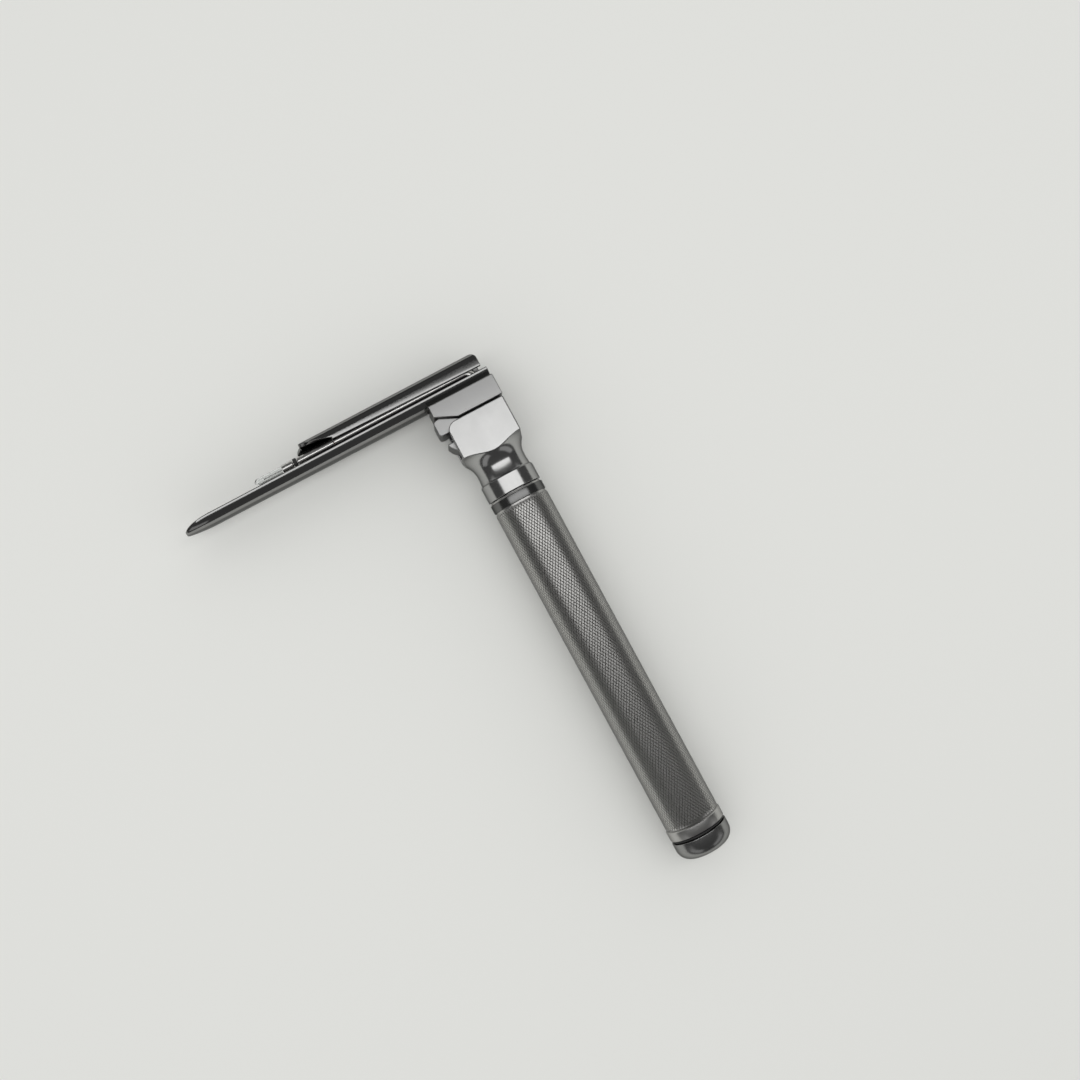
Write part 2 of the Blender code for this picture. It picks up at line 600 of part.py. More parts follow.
def heel_outlines():
    """The side outlines of the heel's block and of its tongue with the hook."""
    chamfer_end = BLOCK_FRONT + BLOCK_CHAMFER_LENGTH
    block = [(BLOCK_REAR, BLOCK_RISE), (BLOCK_REAR, BLOCK_TOP), (BLOCK_FRONT, BLOCK_TOP)]
    block += [(BLOCK_FRONT, BLOCK_RISE + BLOCK_CHAMFER_HEIGHT), (chamfer_end, BLOCK_RISE)]
    notch_angle = math.degrees(math.asin(NOTCH_HALF / HOOK_RADIUS))
    centre = (PIN_X, -PIN_DEPTH)
    nose_x = -CHEEK_HALF - NOSE_REACH
    notch_top = -PIN_DEPTH + NOTCH_HALF
    mid = (BLOCK_RISE + BLOCK_TOP) / 2
    tongue = [(TONGUE_REAR, mid), (chamfer_end, mid), (nose_x + NOSE_EDGE, NOSE_TOP)]
    tongue += arc((nose_x + NOSE_EDGE, NOSE_TOP - NOSE_EDGE), NOSE_EDGE, 90, 180, NOSE_STEPS)[1:]
    tongue += arc((nose_x + NOSE_EDGE, notch_top + NOSE_EDGE), NOSE_EDGE, 180, 270, NOSE_STEPS)
    tongue += arc(centre, NOTCH_HALF, 90, -90, BEND_STEPS)
    tongue += arc(centre, HOOK_RADIUS, 180 + notch_angle, 270, BEND_STEPS)
    tongue += [(TONGUE_REAR, TONGUE_BOTTOM)]
    return block, tongue


def make_heel(chrome):
    """The heel: block under the blade, tongue between the cheeks, hook round the pin, and its bores."""
    block_side, tongue_side = heel_outlines()
    heel = extruded("heel", block_side, -BLOCK_HALF_WIDTH, BLOCK_HALF_WIDTH)
    bevelled(heel, BLOCK_EDGE)
    cut(heel, extruded("heel_tongue", tongue_side, -TONGUE_HALF, TONGUE_HALF), "UNION")
    wide = BLADE_HALF_WIDTH + SEAT_GAP
    corner = TROUGH_CORNER + SEAT_GAP
    floor = BLADE_FLOOR - SEAT_GAP
    centre_y = floor + corner
    groove = arc((wide - corner, centre_y), corner, 0, -90)
    groove += arc((corner - wide, centre_y), corner, -90, -180)
    cut(heel, along_x_bar("heel_groove", groove, BLOCK_FRONT - MM, BLOCK_REAR + MM))
    drop = Matrix.Translation(Vector((LIGHT_DROP_X, 0.0, LIGHT_Z)))
    cut(heel, rod("heel_bore", LIGHT_RADIUS + SEAT_GAP, TONGUE_BOTTOM + MM, BLOCK_TOP + MM, SMALL_STEPS, drop))
    pocket_low = TONGUE_BOTTOM - MM
    pocket = [(POCKET_FRONT, pocket_low), (POCKET_REAR, pocket_low), (POCKET_REAR, POCKET_TOP)]
    pocket += [(POCKET_FRONT, POCKET_TOP)]
    cut(heel, extruded("heel_pocket", pocket, -POCKET_HALF_WIDTH, POCKET_HALF_WIDTH))
    for side, name in ((1, "near"), (-1, "far")):
        ends = sorted((side * BALL_BORE_WEB / 2, side * (TONGUE_HALF + MM)))
        cut(heel, rod(f"ball_bore_{name}", BALL_RADIUS + RUN_GAP, *ends, SMALL_STEPS, along_z(BALL_POINT)))
    place(heel, chrome, PIN_POINT)


def make_heel_contact(plastic, brass):
    """The insulating plate in the tongue's pocket and the contact riveted through it."""
    top = TONGUE_BOTTOM + PLATE_THICKNESS
    outline = [(POCKET_FRONT + SEAT_GAP, TONGUE_BOTTOM), (POCKET_REAR - SEAT_GAP, TONGUE_BOTTOM)]
    outline += [(POCKET_REAR - SEAT_GAP, top), (POCKET_FRONT + SEAT_GAP, top)]
    half = POCKET_HALF_WIDTH - SEAT_GAP
    plate = extruded("contact_plate", outline, -half, half)
    cut(plate, rod("rivet_hole", RIVET_RADIUS + RUN_GAP, TONGUE_BOTTOM - MM, top + MM, SMALL_STEPS))
    recess_top = TONGUE_BOTTOM + SEAT_GAP + RIVET_HEAD
    cut(plate, rod("rivet_recess", RIVET_HEAD_RADIUS + SEAT_GAP, TONGUE_BOTTOM - MM, recess_top, SMALL_STEPS))
    place(plate, plastic, PIN_POINT)
    tail = top + RIVET_TAIL
    profile = [(0.0, tail), (RIVET_RADIUS, tail), (RIVET_RADIUS, TONGUE_BOTTOM + RIVET_HEAD)]
    profile += [(RIVET_HEAD_RADIUS, TONGUE_BOTTOM + RIVET_HEAD), (RIVET_HEAD_RADIUS, TONGUE_BOTTOM)]
    profile += [(RIVET_HEAD_RADIUS - RIVET_HEAD, CONTACT_FACE), (0.0, CONTACT_FACE)]
    place(turned("heel_contact", profile, SMALL_STEPS), brass, PIN_POINT)


def make_detents(steel):
    """Two sprung balls that stand out of the tongue's sides."""
    for side, name in ((1, "near"), (-1, "far")):
        centre = side * (TONGUE_HALF + BALL_PROUD - BALL_RADIUS)
        profile = arc((0.0, centre), BALL_RADIUS, 90, -90, BEND_STEPS)
        profile = [(abs(r) if abs(r) > 1e-9 else 0.0, h) for r, h in profile]
        place(turned(f"detent_ball_{name}", profile, SMALL_STEPS, along_z(BALL_POINT)), steel, BALL_POINT)
        inner = side * (BALL_BORE_WEB / 2 + SEAT_GAP + DETENT_WIRE)
        outer = centre - side * (BALL_RADIUS + SEAT_GAP + DETENT_WIRE)
        winding = BALL_RADIUS - SEAT_GAP
        spring = coil(
            f"detent_spring_{name}", inner, outer, winding, winding, DETENT_WIRE, DETENT_TURNS, along_z(BALL_POINT)
        )
        place(spring, steel, BALL_POINT)


def make_light(chrome, brass, rubber, glass, wire):
    """The light tube with its lead, and the socket, ring and lamp at its front end."""
    route = light_route(SOCKET_REAR + SEAT_GAP, POCKET_TOP)
    outer = route_rings(route, LIGHT_RADIUS, TUBE_SIDES)
    inner = route_rings(route, LIGHT_BORE, TUBE_SIDES)
    whole = np.ones((len(route) - 1, TUBE_SIDES), dtype=bool)
    place(shell("light_tube", outer, inner, whole, closed=True), chrome, PIN_POINT)
    frame = along_x(Vector((0.0, LIGHT_Y, LIGHT_Z)))
    thread_end = SOCKET_FRONT + SOCKET_THREAD_DEPTH
    spigot = LIGHT_BORE - RUN_GAP / 2
    profile = [(SOCKET_THREAD, SOCKET_FRONT), (SOCKET_RADIUS, SOCKET_FRONT), (SOCKET_RADIUS, SOCKET_REAR)]
    spigot_end = SOCKET_REAR + SOCKET_SPIGOT
    profile += [(spigot, SOCKET_REAR), (spigot, spigot_end), (SOCKET_BORE, spigot_end)]
    profile += [(SOCKET_BORE, thread_end), (SOCKET_THREAD, thread_end)]
    place(turned("lamp_socket", profile, SMALL_STEPS, frame), chrome, PIN_POINT)
    ring_rear = LAMP_RING_FRONT + LAMP_RING_WIDTH
    ring = [(SOCKET_THREAD, LAMP_RING_FRONT), (LAMP_RING_RADIUS, LAMP_RING_FRONT)]
    ring += [(LAMP_RING_RADIUS, ring_rear), (SOCKET_THREAD, ring_rear)]
    place(turned("lamp_ring", ring, SMALL_STEPS, frame), rubber, LAMP_POINT)
    stem = SOCKET_THREAD - RUN_GAP
    base_front = LAMP_BASE_REAR - LAMP_BASE_LENGTH
    stem_end = LAMP_BASE_REAR + LAMP_STEM_LENGTH
    profile = [(0.0, base_front), (LAMP_RADIUS, base_front), (LAMP_RADIUS, LAMP_BASE_REAR)]
    profile += [(stem, LAMP_BASE_REAR), (stem, stem_end), (0.0, stem_end)]
    place(turned("lamp_base", profile, SMALL_STEPS, frame), brass, LAMP_POINT)
    front = LAMP_GLASS_REAR - LAMP_GLASS_LENGTH
    bulb = LAMP_RADIUS - LAMP_GLASS_WALL / 2
    hollow = bulb - LAMP_GLASS_WALL
    dome = [(r, front + bulb - h) for h, r in arc((0.0, 0.0), bulb, 0, 90, 6)]
    cavity = [(r, front + bulb - h) for h, r in arc((0.0, 0.0), hollow, 90, 0, 6)]
    profile = [(0.0, front)] + dome[1:] + [(bulb, LAMP_GLASS_REAR), (hollow, LAMP_GLASS_REAR)]
    profile += cavity[:-1] + [(0.0, front + bulb - hollow)]
    place(turned("lamp_glass", profile, SMALL_STEPS, frame), glass, LAMP_POINT)
    lead = light_route(thread_end, POCKET_TOP - LEAD_RADIUS)
    rivet_top = TONGUE_BOTTOM + PLATE_THICKNESS + RIVET_TAIL
    end = Vector((RIVET_RADIUS + LEAD_RADIUS, rivet_top + SEAT_GAP + LEAD_RADIUS, 0.0))
    lead += lead_tail(lead[-1], end)
    curve = bpy.data.curves.new("lead_wire", "CURVE")
    curve.dimensions = "3D"
    curve.bevel_depth = LEAD_RADIUS
    curve.bevel_resolution = 1
    curve.use_fill_caps = True
    spline = curve.splines.new("POLY")
    spline.points.add(len(lead) - 1)
    for point, spot in zip(spline.points, lead):
        point.co = (*spot, 1.0)
    item = bpy.data.objects.new("lead_wire", curve)
    bpy.context.scene.collection.objects.link(item)
    place(item, wire, PIN_POINT)


def lead_tail(start, end):
    """The lead's last stretch in the pocket: a smooth curve from straight down to level."""
    corner = Vector((start.x, end.y, start.z))
    shares = np.linspace(0.0, 1.0, BEND_STEPS)[1:]
    return [start * (1 - s) ** 2 + corner * (2 * s * (1 - s)) + end * s**2 for s in shares]


def main():
    """Build every piece under one datum."""
    clear_scene()
    datum = bpy.data.objects.new("datum", None)
    datum.location = DATUM
    bpy.context.scene.collection.objects.link(datum)
    chrome = material("bright_chrome", (0.62, 0.62, 0.61), 1.0, 0.12)
    grip = material("knurled_chrome", (0.42, 0.42, 0.41), 1.0, 0.25)
    blade_chrome = material("blade_chrome", (0.5, 0.5, 0.49), 1.0, 0.15)
    steel = material("spring_steel", (0.45, 0.45, 0.45), 1.0, 0.3)
    brass = material("contact_brass", (0.72, 0.55, 0.28), 1.0, 0.25)
    plastic = material("insulating_plastic", (0.12, 0.12, 0.12), 0.0, 0.5)
    rubber = material("black_rubber", (0.02, 0.02, 0.02), 0.0, 0.6)
    wrap = material("cell_wrap", (0.1, 0.11, 0.13), 0.0, 0.4)
    glass = material("lamp_glass", (0.9, 0.92, 0.92), 0.0, 0.05)
    wire = material("lead_enamel", (0.35, 0.12, 0.05), 0.0, 0.35)
    make_tube(grip)
    make_head(chrome, steel)
    make_contact(plastic, brass, steel)
    make_cell("battery_upper", CELL_TOP, wrap)
    make_cell("battery_lower", SECOND_CELL_TOP, wrap)
    make_cap(grip, steel, rubber)
    make_blade(blade_chrome)
    make_heel(chrome)
    make_heel_contact(plastic, brass)
    make_detents(steel)
    make_light(chrome, brass, rubber, glass, wire)


main()
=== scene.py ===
"""Looks of the hook-on laryngoscope: knurled handle, forked head, straight blade, light tube and lamp."""

import logging
import math
from dataclasses import dataclass
from enum import Enum

import bmesh
import bpy
import numpy as np
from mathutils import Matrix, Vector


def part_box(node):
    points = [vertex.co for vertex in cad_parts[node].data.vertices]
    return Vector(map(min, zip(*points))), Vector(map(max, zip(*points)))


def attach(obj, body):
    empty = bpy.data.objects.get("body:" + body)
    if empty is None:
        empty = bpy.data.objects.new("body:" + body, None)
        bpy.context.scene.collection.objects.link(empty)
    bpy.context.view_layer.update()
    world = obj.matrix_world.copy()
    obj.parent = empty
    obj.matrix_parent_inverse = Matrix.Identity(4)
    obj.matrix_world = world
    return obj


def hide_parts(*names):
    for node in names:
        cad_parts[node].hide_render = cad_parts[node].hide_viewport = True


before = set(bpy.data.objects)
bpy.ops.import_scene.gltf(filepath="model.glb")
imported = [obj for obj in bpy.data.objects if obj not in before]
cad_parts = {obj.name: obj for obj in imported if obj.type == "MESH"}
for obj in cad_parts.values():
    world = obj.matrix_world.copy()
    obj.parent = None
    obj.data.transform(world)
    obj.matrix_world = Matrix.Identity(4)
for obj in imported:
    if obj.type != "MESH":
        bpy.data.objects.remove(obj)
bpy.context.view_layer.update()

LOG = logging.getLogger("laryngoscope")
MM = 0.001
FULL_TURN = 2 * math.pi
# How far a cutting tool stands past what it cuts, in millimetres.
TOOL_MARGIN = 1.0
# A profile that starts nearer to its axis than this starts on it.
ON_AXIS = 1e-9
# The most of a side that the rounding of one corner takes up.
CORNER_SHARE = 0.45
# Sides of the round section of a tube or wire.
WIRE_SIDES = 16
# Angles in degrees past which an edge is shaded sharp, or is rounded.
CREASE = 30.0
ROUNDED_CREASE = 28.0
Points = list[tuple[float, float]]
Triple = tuple[float, float, float]


class Side(Enum):
    """The near and the far side of the part."""

    NEAR = 1
    FAR = -1


class Cut(Enum):
    """How a tool acts on a piece."""

    KEEP = "INTERSECT"
    REMOVE = "DIFFERENCE"
    JOIN = "UNION"


class Axis(Enum):
    """The line that a piece is spun about or carried along."""

    HANDLE = "y"
    LAMP = "x"
    ACROSS = "z"


@dataclass(frozen=True)
class Datum:
    """The handle's axis and the level of the cheeks' top, read from the frame."""

    x: float
    y: float
    z: float

    @staticmethod
    def from_frame() -> "Datum":
        """Read the datum from the tube's and the head's boxes.

        Returns:
            The datum, in metres.
        """
        low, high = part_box("handle_tube")
        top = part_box("head")[1]
        return Datum((low.x + high.x) / 2, top.y, (low.z + high.z) / 2)

    def shift(self, points: np.ndarray) -> np.ndarray:
        """Move points from millimetres about the datum to metres in the frame."""
        return points * MM + np.array([self.x, self.y, self.z])

    def local(self, point: object) -> np.ndarray:
        """Move a point from metres in the frame to millimetres about the datum."""
        return (np.array(point) - np.array([self.x, self.y, self.z])) / MM


DATUM = Datum.from_frame()


class Value:
    """A shader socket that takes arithmetic, each step adding one Math node."""

    def __init__(self, bench: "Bench", socket: bpy.types.NodeSocket) -> None:
        """Hold the socket and the bench that its nodes go on."""
        self.bench = bench
        self.socket = socket

    def _math(self, operation: str, first: object, second: object) -> "Value":
        """Add a Math node on two values."""
        return self.bench.add("ShaderNodeMath", {"operation": operation}, {0: first, 1: second})

    def __add__(self, other: object) -> "Value":
        """Sum."""
        return self._math("ADD", self, other)

    __radd__ = __add__

    def __mul__(self, other: object) -> "Value":
        """Product."""
        return self._math("MULTIPLY", self, other)

    __rmul__ = __mul__


class Bench:
    """The node tree of a material or a world, and the one method that adds nodes to it."""

    def __init__(self, owner: bpy.types.ID) -> None:
        """Open the owner's node tree.

        Args:
            owner: the material or world.
        """
        owner.use_nodes = True
        self.owner = owner
        self.tree = owner.node_tree

    def add(self, kind: str, settings: dict, inputs: dict, output: object = 0) -> Value:
        """Add a node.

        Args:
            kind: the node's type.
            settings: its properties, set first.
            inputs: values or links of its sockets, by name or number.
            output: the socket to hand back.

        Returns:
            The chosen output as a value.
        """
        node = self.tree.nodes.new(kind)
        for key, setting in settings.items():
            setattr(node, key, setting)
        for key, given in inputs.items():
            self.feed(node.inputs[key], given)
        return Value(self, node.outputs[output])

    def feed(self, socket: bpy.types.NodeSocket, given: object) -> None:
        """Link a value to a socket, or set the socket's own value.

        Args:
            socket: the socket to feed.
            given: a value to link, or a number or colour to set.
        """
        if isinstance(given, Value):
            self.tree.links.new(given.socket, socket)
        else:
            socket.default_value = given

    def surface(self, **inputs: object) -> bpy.types.Material:
        """Set the Principled shader's sockets.

        Args:
            **inputs: values or links by the socket's name, an underscore standing for a space.

        Returns:
            The material that the bench works on.
        """
        shader = self.tree.nodes["Principled BSDF"]
        for key, given in inputs.items():
            self.feed(shader.inputs[key.replace("_", " ")], given)
        return self.owner

    def place(self, scale: Triple) -> Value:
        """Object coordinates stretched by a scale per axis."""
        spot = self.add("ShaderNodeTexCoord", {}, {}, "Object")
        return self.add("ShaderNodeMapping", {}, {"Vector": spot, "Scale": scale})

    def noise(self, scale: Triple, detail: float = 3.0, roughness: float = 0.55) -> Value:
        """Noise from 0 to 1 at so many cells per metre along each axis."""
        inputs = {"Vector": self.place(scale), "Scale": 1.0, "Detail": detail, "Roughness": roughness}
        return self.add("ShaderNodeTexNoise", {}, inputs, "Fac")

    def blend(self, share: Value, first: Triple, second: Triple) -> Value:
        """Mix two colours by a share; a Mix node's colour sockets are told apart by number alone."""
        inputs = {0: share, 6: (*first, 1.0), 7: (*second, 1.0)}
        return self.add("ShaderNodeMix", {"data_type": "RGBA"}, inputs, 2)

    def bump(self, height: Value, depth: float) -> Value:
        """Raise the surface by a height of so many metres."""
        return self.add("ShaderNodeBump", {}, {"Height": height, "Strength": 1.0, "Distance": depth})


@dataclass(frozen=True)
class Metal:
    """A plated or bare metal: handling haze in its gloss, fine drawn lines, slight clouding and painted
    shade at grazing angles.
    """

    name: str
    colour: Triple
    clouded: Triple
    gloss: float
    haze: float
    lines: Triple
    line_depth: float
    haze_cells: Triple = (140.0, 140.0, 140.0)
    line_detail: float = 2.0
    # Painted shade: a grey tint at grazing angles that darkens every metal towards its outline.
    grazing_shade_tint: tuple[float, ...] = (0.3, 0.3, 0.3, 1.0)

    def build(self) -> bpy.types.Material:
        """Make the material.

        Haze and lines both come from noise, the lines stretched along the way of polishing. Both noises
        are a half on average, so three quarters of the haze comes off the gloss to leave it as the mean.

        Returns:
            The material.
        """
        bench = Bench(bpy.data.materials.new(self.name))
        haze = bench.noise(self.haze_cells)
        fine = bench.noise(self.lines, self.line_detail)
        tint = bench.blend(haze, self.colour, self.clouded)
        rough = haze * self.haze + fine * (self.haze / 2) + (self.gloss - self.haze * 3 / 4)
        return bench.surface(
            Base_Color=tint,
            Metallic=1.0,
            # Painted shade: the grey grazing tint darkens the metal towards its outline.
            Specular_Tint=self.grazing_shade_tint,
            Roughness=rough,
            Normal=bench.bump(fine, self.line_depth),
        )


@dataclass(frozen=True)
class Moulding:
    """A moulded plastic, rubber or varnish: fine grain, with its colour slightly mottled."""

    name: str
    colour: Triple
    mottled: Triple
    gloss: float
    grain: float
    grain_depth: float
    cloud_cells: Triple = (300.0, 300.0, 300.0)
    cloud_share: float = 0.12
    grain_detail: float = 2.0

    def build(self) -> bpy.types.Material:
        """Make the material from one coarse and one fine noise.

        Returns:
            The material, whose gloss is the mean of its roughness.
        """
        bench = Bench(bpy.data.materials.new(self.name))
        cloud = bench.noise(self.cloud_cells)
        grain = bench.noise((self.grain, self.grain, self.grain), self.grain_detail)
        return bench.surface(
            Base_Color=bench.blend(cloud, self.colour, self.mottled),
            Roughness=cloud * self.cloud_share + (self.gloss - self.cloud_share / 2),
            Normal=bench.bump(grain, self.grain_depth),
        )


@dataclass(frozen=True)
class Glass:
    """Clear lamp glass, with a faint ripple from drawing."""

    name: str
    colour: tuple[float, ...] = (0.96, 0.97, 0.97, 1.0)
    ripple_cells: Triple = (300.0, 900.0, 900.0)
    ripple_detail: float = 1.0
    ripple_depth: float = 4e-6
    roughness: float = 0.02
    roughness_spread: float = 0.04
    bending: float = 1.5

    def build(self) -> bpy.types.Material:
        """Make the material from one noise stretched along the lamp.

        Returns:
            The material.
        """
        bench = Bench(bpy.data.materials.new(self.name))
        ripple = bench.noise(self.ripple_cells, self.ripple_detail)
        return bench.surface(
            Base_Color=self.colour,
            Roughness=ripple * self.roughness_spread + self.roughness,
            Transmission_Weight=1.0,
            IOR=self.bending,
            Normal=bench.bump(ripple, self.ripple_depth),
        )


FINISHES: dict[str, Metal | Moulding | Glass] = {
    "head": Metal(
        "bright_chrome", colour=(0.44, 0.44, 0.435), clouded=(0.4, 0.4, 0.395),
        gloss=0.17, haze=0.05, lines=(900, 90, 900), line_depth=1.5e-6,
    ),
    "grip": Metal(
        "knurled_chrome", colour=(0.57, 0.565, 0.55), clouded=(0.51, 0.505, 0.49),
        gloss=0.32, haze=0.08, lines=(900, 900, 900), line_depth=2e-6,
    ),
    "cap": Metal(
        "cap_chrome", colour=(0.36, 0.36, 0.355), clouded=(0.3, 0.3, 0.295),
        gloss=0.24, haze=0.08, lines=(900, 900, 900), line_depth=2e-6,
    ),
    "band": Metal(
        "band_chrome", colour=(0.2, 0.2, 0.198), clouded=(0.16, 0.16, 0.158),
        gloss=0.2, haze=0.06, lines=(900, 120, 900), line_depth=1.5e-6,
    ),
    # Painted dark reflection: the blade's chrome is darker than the head's, standing in for the dark
    # surroundings it would mirror.
    "blade": Metal(
        "blade_chrome", colour=(0.32, 0.32, 0.315), clouded=(0.27, 0.27, 0.265),
        gloss=0.11, haze=0.05, lines=(60, 1500, 1500), line_depth=1.5e-6,
    ),
    "block": Metal(
        "block_satin", colour=(0.42, 0.42, 0.415), clouded=(0.4, 0.4, 0.395),
        gloss=0.28, haze=0.05, lines=(30, 5000, 5000), line_depth=4e-7,
    ),
    # Partly the bright metal of the light tube, socket and lamp base, and partly a painted highlight: the
    # colour is raised so that the tube shows as a bright line.
    "nickel_and_painted_highlight": Metal(
        "light_nickel_painted_highlight", colour=(0.86, 0.85, 0.83), clouded=(0.8, 0.79, 0.77),
        gloss=0.28, haze=0.06, lines=(80, 1800, 1800), line_depth=2e-6,
    ),
    "steel": Metal(
        "spring_steel", colour=(0.46, 0.46, 0.46), clouded=(0.38, 0.38, 0.38),
        gloss=0.3, haze=0.1, lines=(1200, 1200, 1200), line_depth=2e-6,
    ),
    "brass": Metal(
        "contact_brass", colour=(0.74, 0.56, 0.27), clouded=(0.6, 0.43, 0.2),
        gloss=0.24, haze=0.1, lines=(900, 900, 900), line_depth=2e-6,
    ),
    "tungsten": Metal(
        "filament", colour=(0.35, 0.34, 0.33), clouded=(0.25, 0.24, 0.23),
        gloss=0.4, haze=0.1, lines=(3000, 3000, 3000), line_depth=1e-6,
    ),
    "plastic": Moulding(
        "insulator", colour=(0.1, 0.1, 0.1), mottled=(0.14, 0.14, 0.14),
        gloss=0.5, grain=6000.0, grain_depth=4e-6,
    ),
    "rubber": Moulding(
        "black_rubber", colour=(0.018, 0.018, 0.018), mottled=(0.03, 0.03, 0.03),
        gloss=0.62, grain=5000.0, grain_depth=6e-6,
    ),
    "wrap": Moulding(
        "cell_wrap", colour=(0.09, 0.1, 0.12), mottled=(0.12, 0.13, 0.15),
        gloss=0.35, grain=900.0, grain_depth=2e-6,
    ),
    "enamel": Moulding(
        "lead_enamel", colour=(0.36, 0.12, 0.05), mottled=(0.3, 0.09, 0.04),
        gloss=0.3, grain=2500.0, grain_depth=2e-6,
    ),
    "glass": Glass("clear_glass"),
}


@dataclass
class Workshop:
    """Turns arrays into finished pieces and keeps the materials; its own sizes in metres and degrees."""

    meeting: float = 1e-7
    nearly_meeting: float = 2e-6
    level_angle: float = 0.5
    rounding_steps: int = 3
    polished_crease: float = 35.0
    flat_weight: int = 90

    def __post_init__(self) -> None:
        """Build every finish once."""
        self.materials = {key: finish.build() for key, finish in FINISHES.items()}

    def piece(
        self, name: str, points: np.ndarray, faces: np.ndarray, crease: float = CREASE
    ) -> bpy.types.Object:
        """Make a closed piece, shaded by angle.

        Args:
            name: the piece's name.
            points: points in millimetres about the datum, in a grid of any shape.
            faces: rows of point numbers.
            crease: the angle past which an edge is sharp.

        Returns:
            The piece, without the points that no face uses and with points that meet joined.
        """
        used, numbers = np.unique(faces, return_inverse=True)
        kept = points.reshape(-1, 3)[used]
        item = self.raised(name, kept, numbers.reshape(faces.shape).tolist(), self.meeting)
        item.data.shade_smooth()
        item.data.set_sharp_from_angle(angle=math.radians(crease))
        return item

    @staticmethod
    def raised(name: str, points: np.ndarray, faces: list, meeting: float = 0.0) -> bpy.types.Object:
        """Make an object whose faces point outwards.

        Args:
            name: the object's name.
            points: points in millimetres about the datum.
            faces: lists of point numbers, of any length.
            meeting: points nearer than this, in metres, are joined; none are at 0.

        Returns:
            The object, linked to the scene.
        """
        mesh = bpy.data.meshes.new(name)
        mesh.from_pydata(DATUM.shift(points).tolist(), [], faces)
        bm = bmesh.new()
        bm.from_mesh(mesh)
        if meeting:
            bmesh.ops.remove_doubles(bm, verts=bm.verts, dist=meeting)
        bmesh.ops.recalc_face_normals(bm, faces=bm.faces)
        bm.to_mesh(mesh)
        bm.free()
        item = bpy.data.objects.new(name, mesh)
        bpy.context.scene.collection.objects.link(item)
        return item

    def dress(self, item: bpy.types.Object, finish: str) -> None:
        """Give an object one finish."""
        item.data.materials.clear()
        item.data.materials.append(self.materials[finish])

    def fit(
        self, item: bpy.types.Object, body: str, finish: str, nodes: tuple[str, ...] = ()
    ) -> None:
        """Dress a piece, set it on its body and hide the solids that it stands for.

        Args:
            item: the piece.
            body: the body that it rides on.
            finish: its material here.
            nodes: the solids that it replaces.
        """
        self.dress(item, finish)
        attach(item, body)
        if nodes:
            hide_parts(*nodes)
        LOG.info("%s rides on %s", item.name, body)

    def carve(self, item: bpy.types.Object, tool: bpy.types.Object, cut: Cut) -> None:
        """Apply a Boolean to a piece and throw the tool away.

        Args:
            item: the piece.
            tool: the object that cuts it or joins it.
            cut: how the tool acts.
        """
        step = item.modifiers.new("carve", "BOOLEAN")
        step.operation = cut.value
        step.solver = "EXACT"
        step.object = tool
        self.settle(item)
        bpy.data.objects.remove(tool, do_unlink=True)

    @staticmethod
    def settle(item: bpy.types.Object) -> None:
        """Replace a piece's mesh by what its modifiers make of it.

        Args:
            item: the piece, whose modifiers go.
        """
        bpy.context.view_layer.update()
        seen = item.evaluated_get(bpy.context.evaluated_depsgraph_get())
        made = bpy.data.meshes.new_from_object(seen)
        item.modifiers.clear()
        item.data = made

    def clean(self, item: bpy.types.Object, flatten: bool) -> None:
        """Join the points of a piece that nearly meet.

        Args:
            item: the piece.
            flatten: whether the level faces that Booleans leave cut up are joined as well.
        """
        bm = bmesh.new()
        bm.from_mesh(item.data)
        bmesh.ops.remove_doubles(bm, verts=bm.verts, dist=self.nearly_meeting)
        if flatten:
            limit = math.radians(self.level_angle)
            bmesh.ops.dissolve_limit(bm, angle_limit=limit, verts=bm.verts, edges=bm.edges)
        bm.to_mesh(item.data)
        bm.free()

    def soften(self, item: bpy.types.Object, width: float, crease: float = ROUNDED_CREASE) -> None:
        """Round a piece's edges.

        Args:
            item: the piece.
            width: the rounding's width in millimetres.
            crease: the angle past which an edge is rounded.
        """
        step = item.modifiers.new("edge", "BEVEL")
        step.width = width * MM
        step.segments = self.rounding_steps
        step.limit_method = "ANGLE"
        step.angle_limit = math.radians(crease)
        step.use_clamp_overlap = False
        self.settle(item)
        self.clean(item, False)

    def polish(self, item: bpy.types.Object) -> None:
        """Shade a piece smoothly over its rounded edges and keep its flats flat.

        Args:
            item: the piece.
        """
        item.data.shade_smooth()
        item.data.set_sharp_from_angle(angle=math.radians(self.polished_crease))
        flats = item.modifiers.new("flats", "WEIGHTED_NORMAL")
        flats.keep_sharp = True
        flats.weight = self.flat_weight


SHOP = Workshop()


def grid_faces(rows: int, columns: int, ring_rows: bool, ring_columns: bool) -> np.ndarray:
    """Quads of a grid of points, each from a point to the next in its row and in its column.

    Args:
        rows: how many rows of points.
        columns: how many points in a row.
        ring_rows: whether the last row joins the first.
        ring_columns: whether each row's last point joins its first.

    Returns:
        Rows of four point numbers.
    """
    i = np.arange(rows if ring_rows else rows - 1)[:, None]
    j = np.arange(columns if ring_columns else columns - 1)[None, :]
    next_i = (i + 1) % rows
    next_j = (j + 1) % columns
    corners = [i * columns + j, i * columns + next_j, next_i * columns + next_j, next_i * columns + j]
    return np.stack(np.broadcast_arrays(*corners), axis=-1).reshape(-1, 4)


def round_turn(turns: int) -> np.ndarray:
    """Even angles once round, as a row."""
    return np.linspace(0.0, FULL_TURN, turns, endpoint=False)[None, :]


def to_whole(phase: np.ndarray) -> np.ndarray:
    """Distance of a phase from the nearest whole number: 0 on it and a half midway."""
    return np.abs(phase - np.round(phase))


def thread_ridge(level: np.ndarray, angle: np.ndarray, pitch: float) -> np.ndarray:
    """Height of a thread that climbs one pitch a turn, from 1 on its crest to 0 midway."""
    return 1.0 - 2.0 * to_whole(level / pitch + angle / FULL_TURN)


def arc(centre: tuple[float, float], radius: float, start: float, end: float, steps: int) -> Points:
    """Points on a circle's arc between two angles in degrees."""
    angle = np.radians(np.linspace(start, end, steps + 1))
    return list(zip(centre[0] + radius * np.cos(angle), centre[1] + radius * np.sin(angle)))


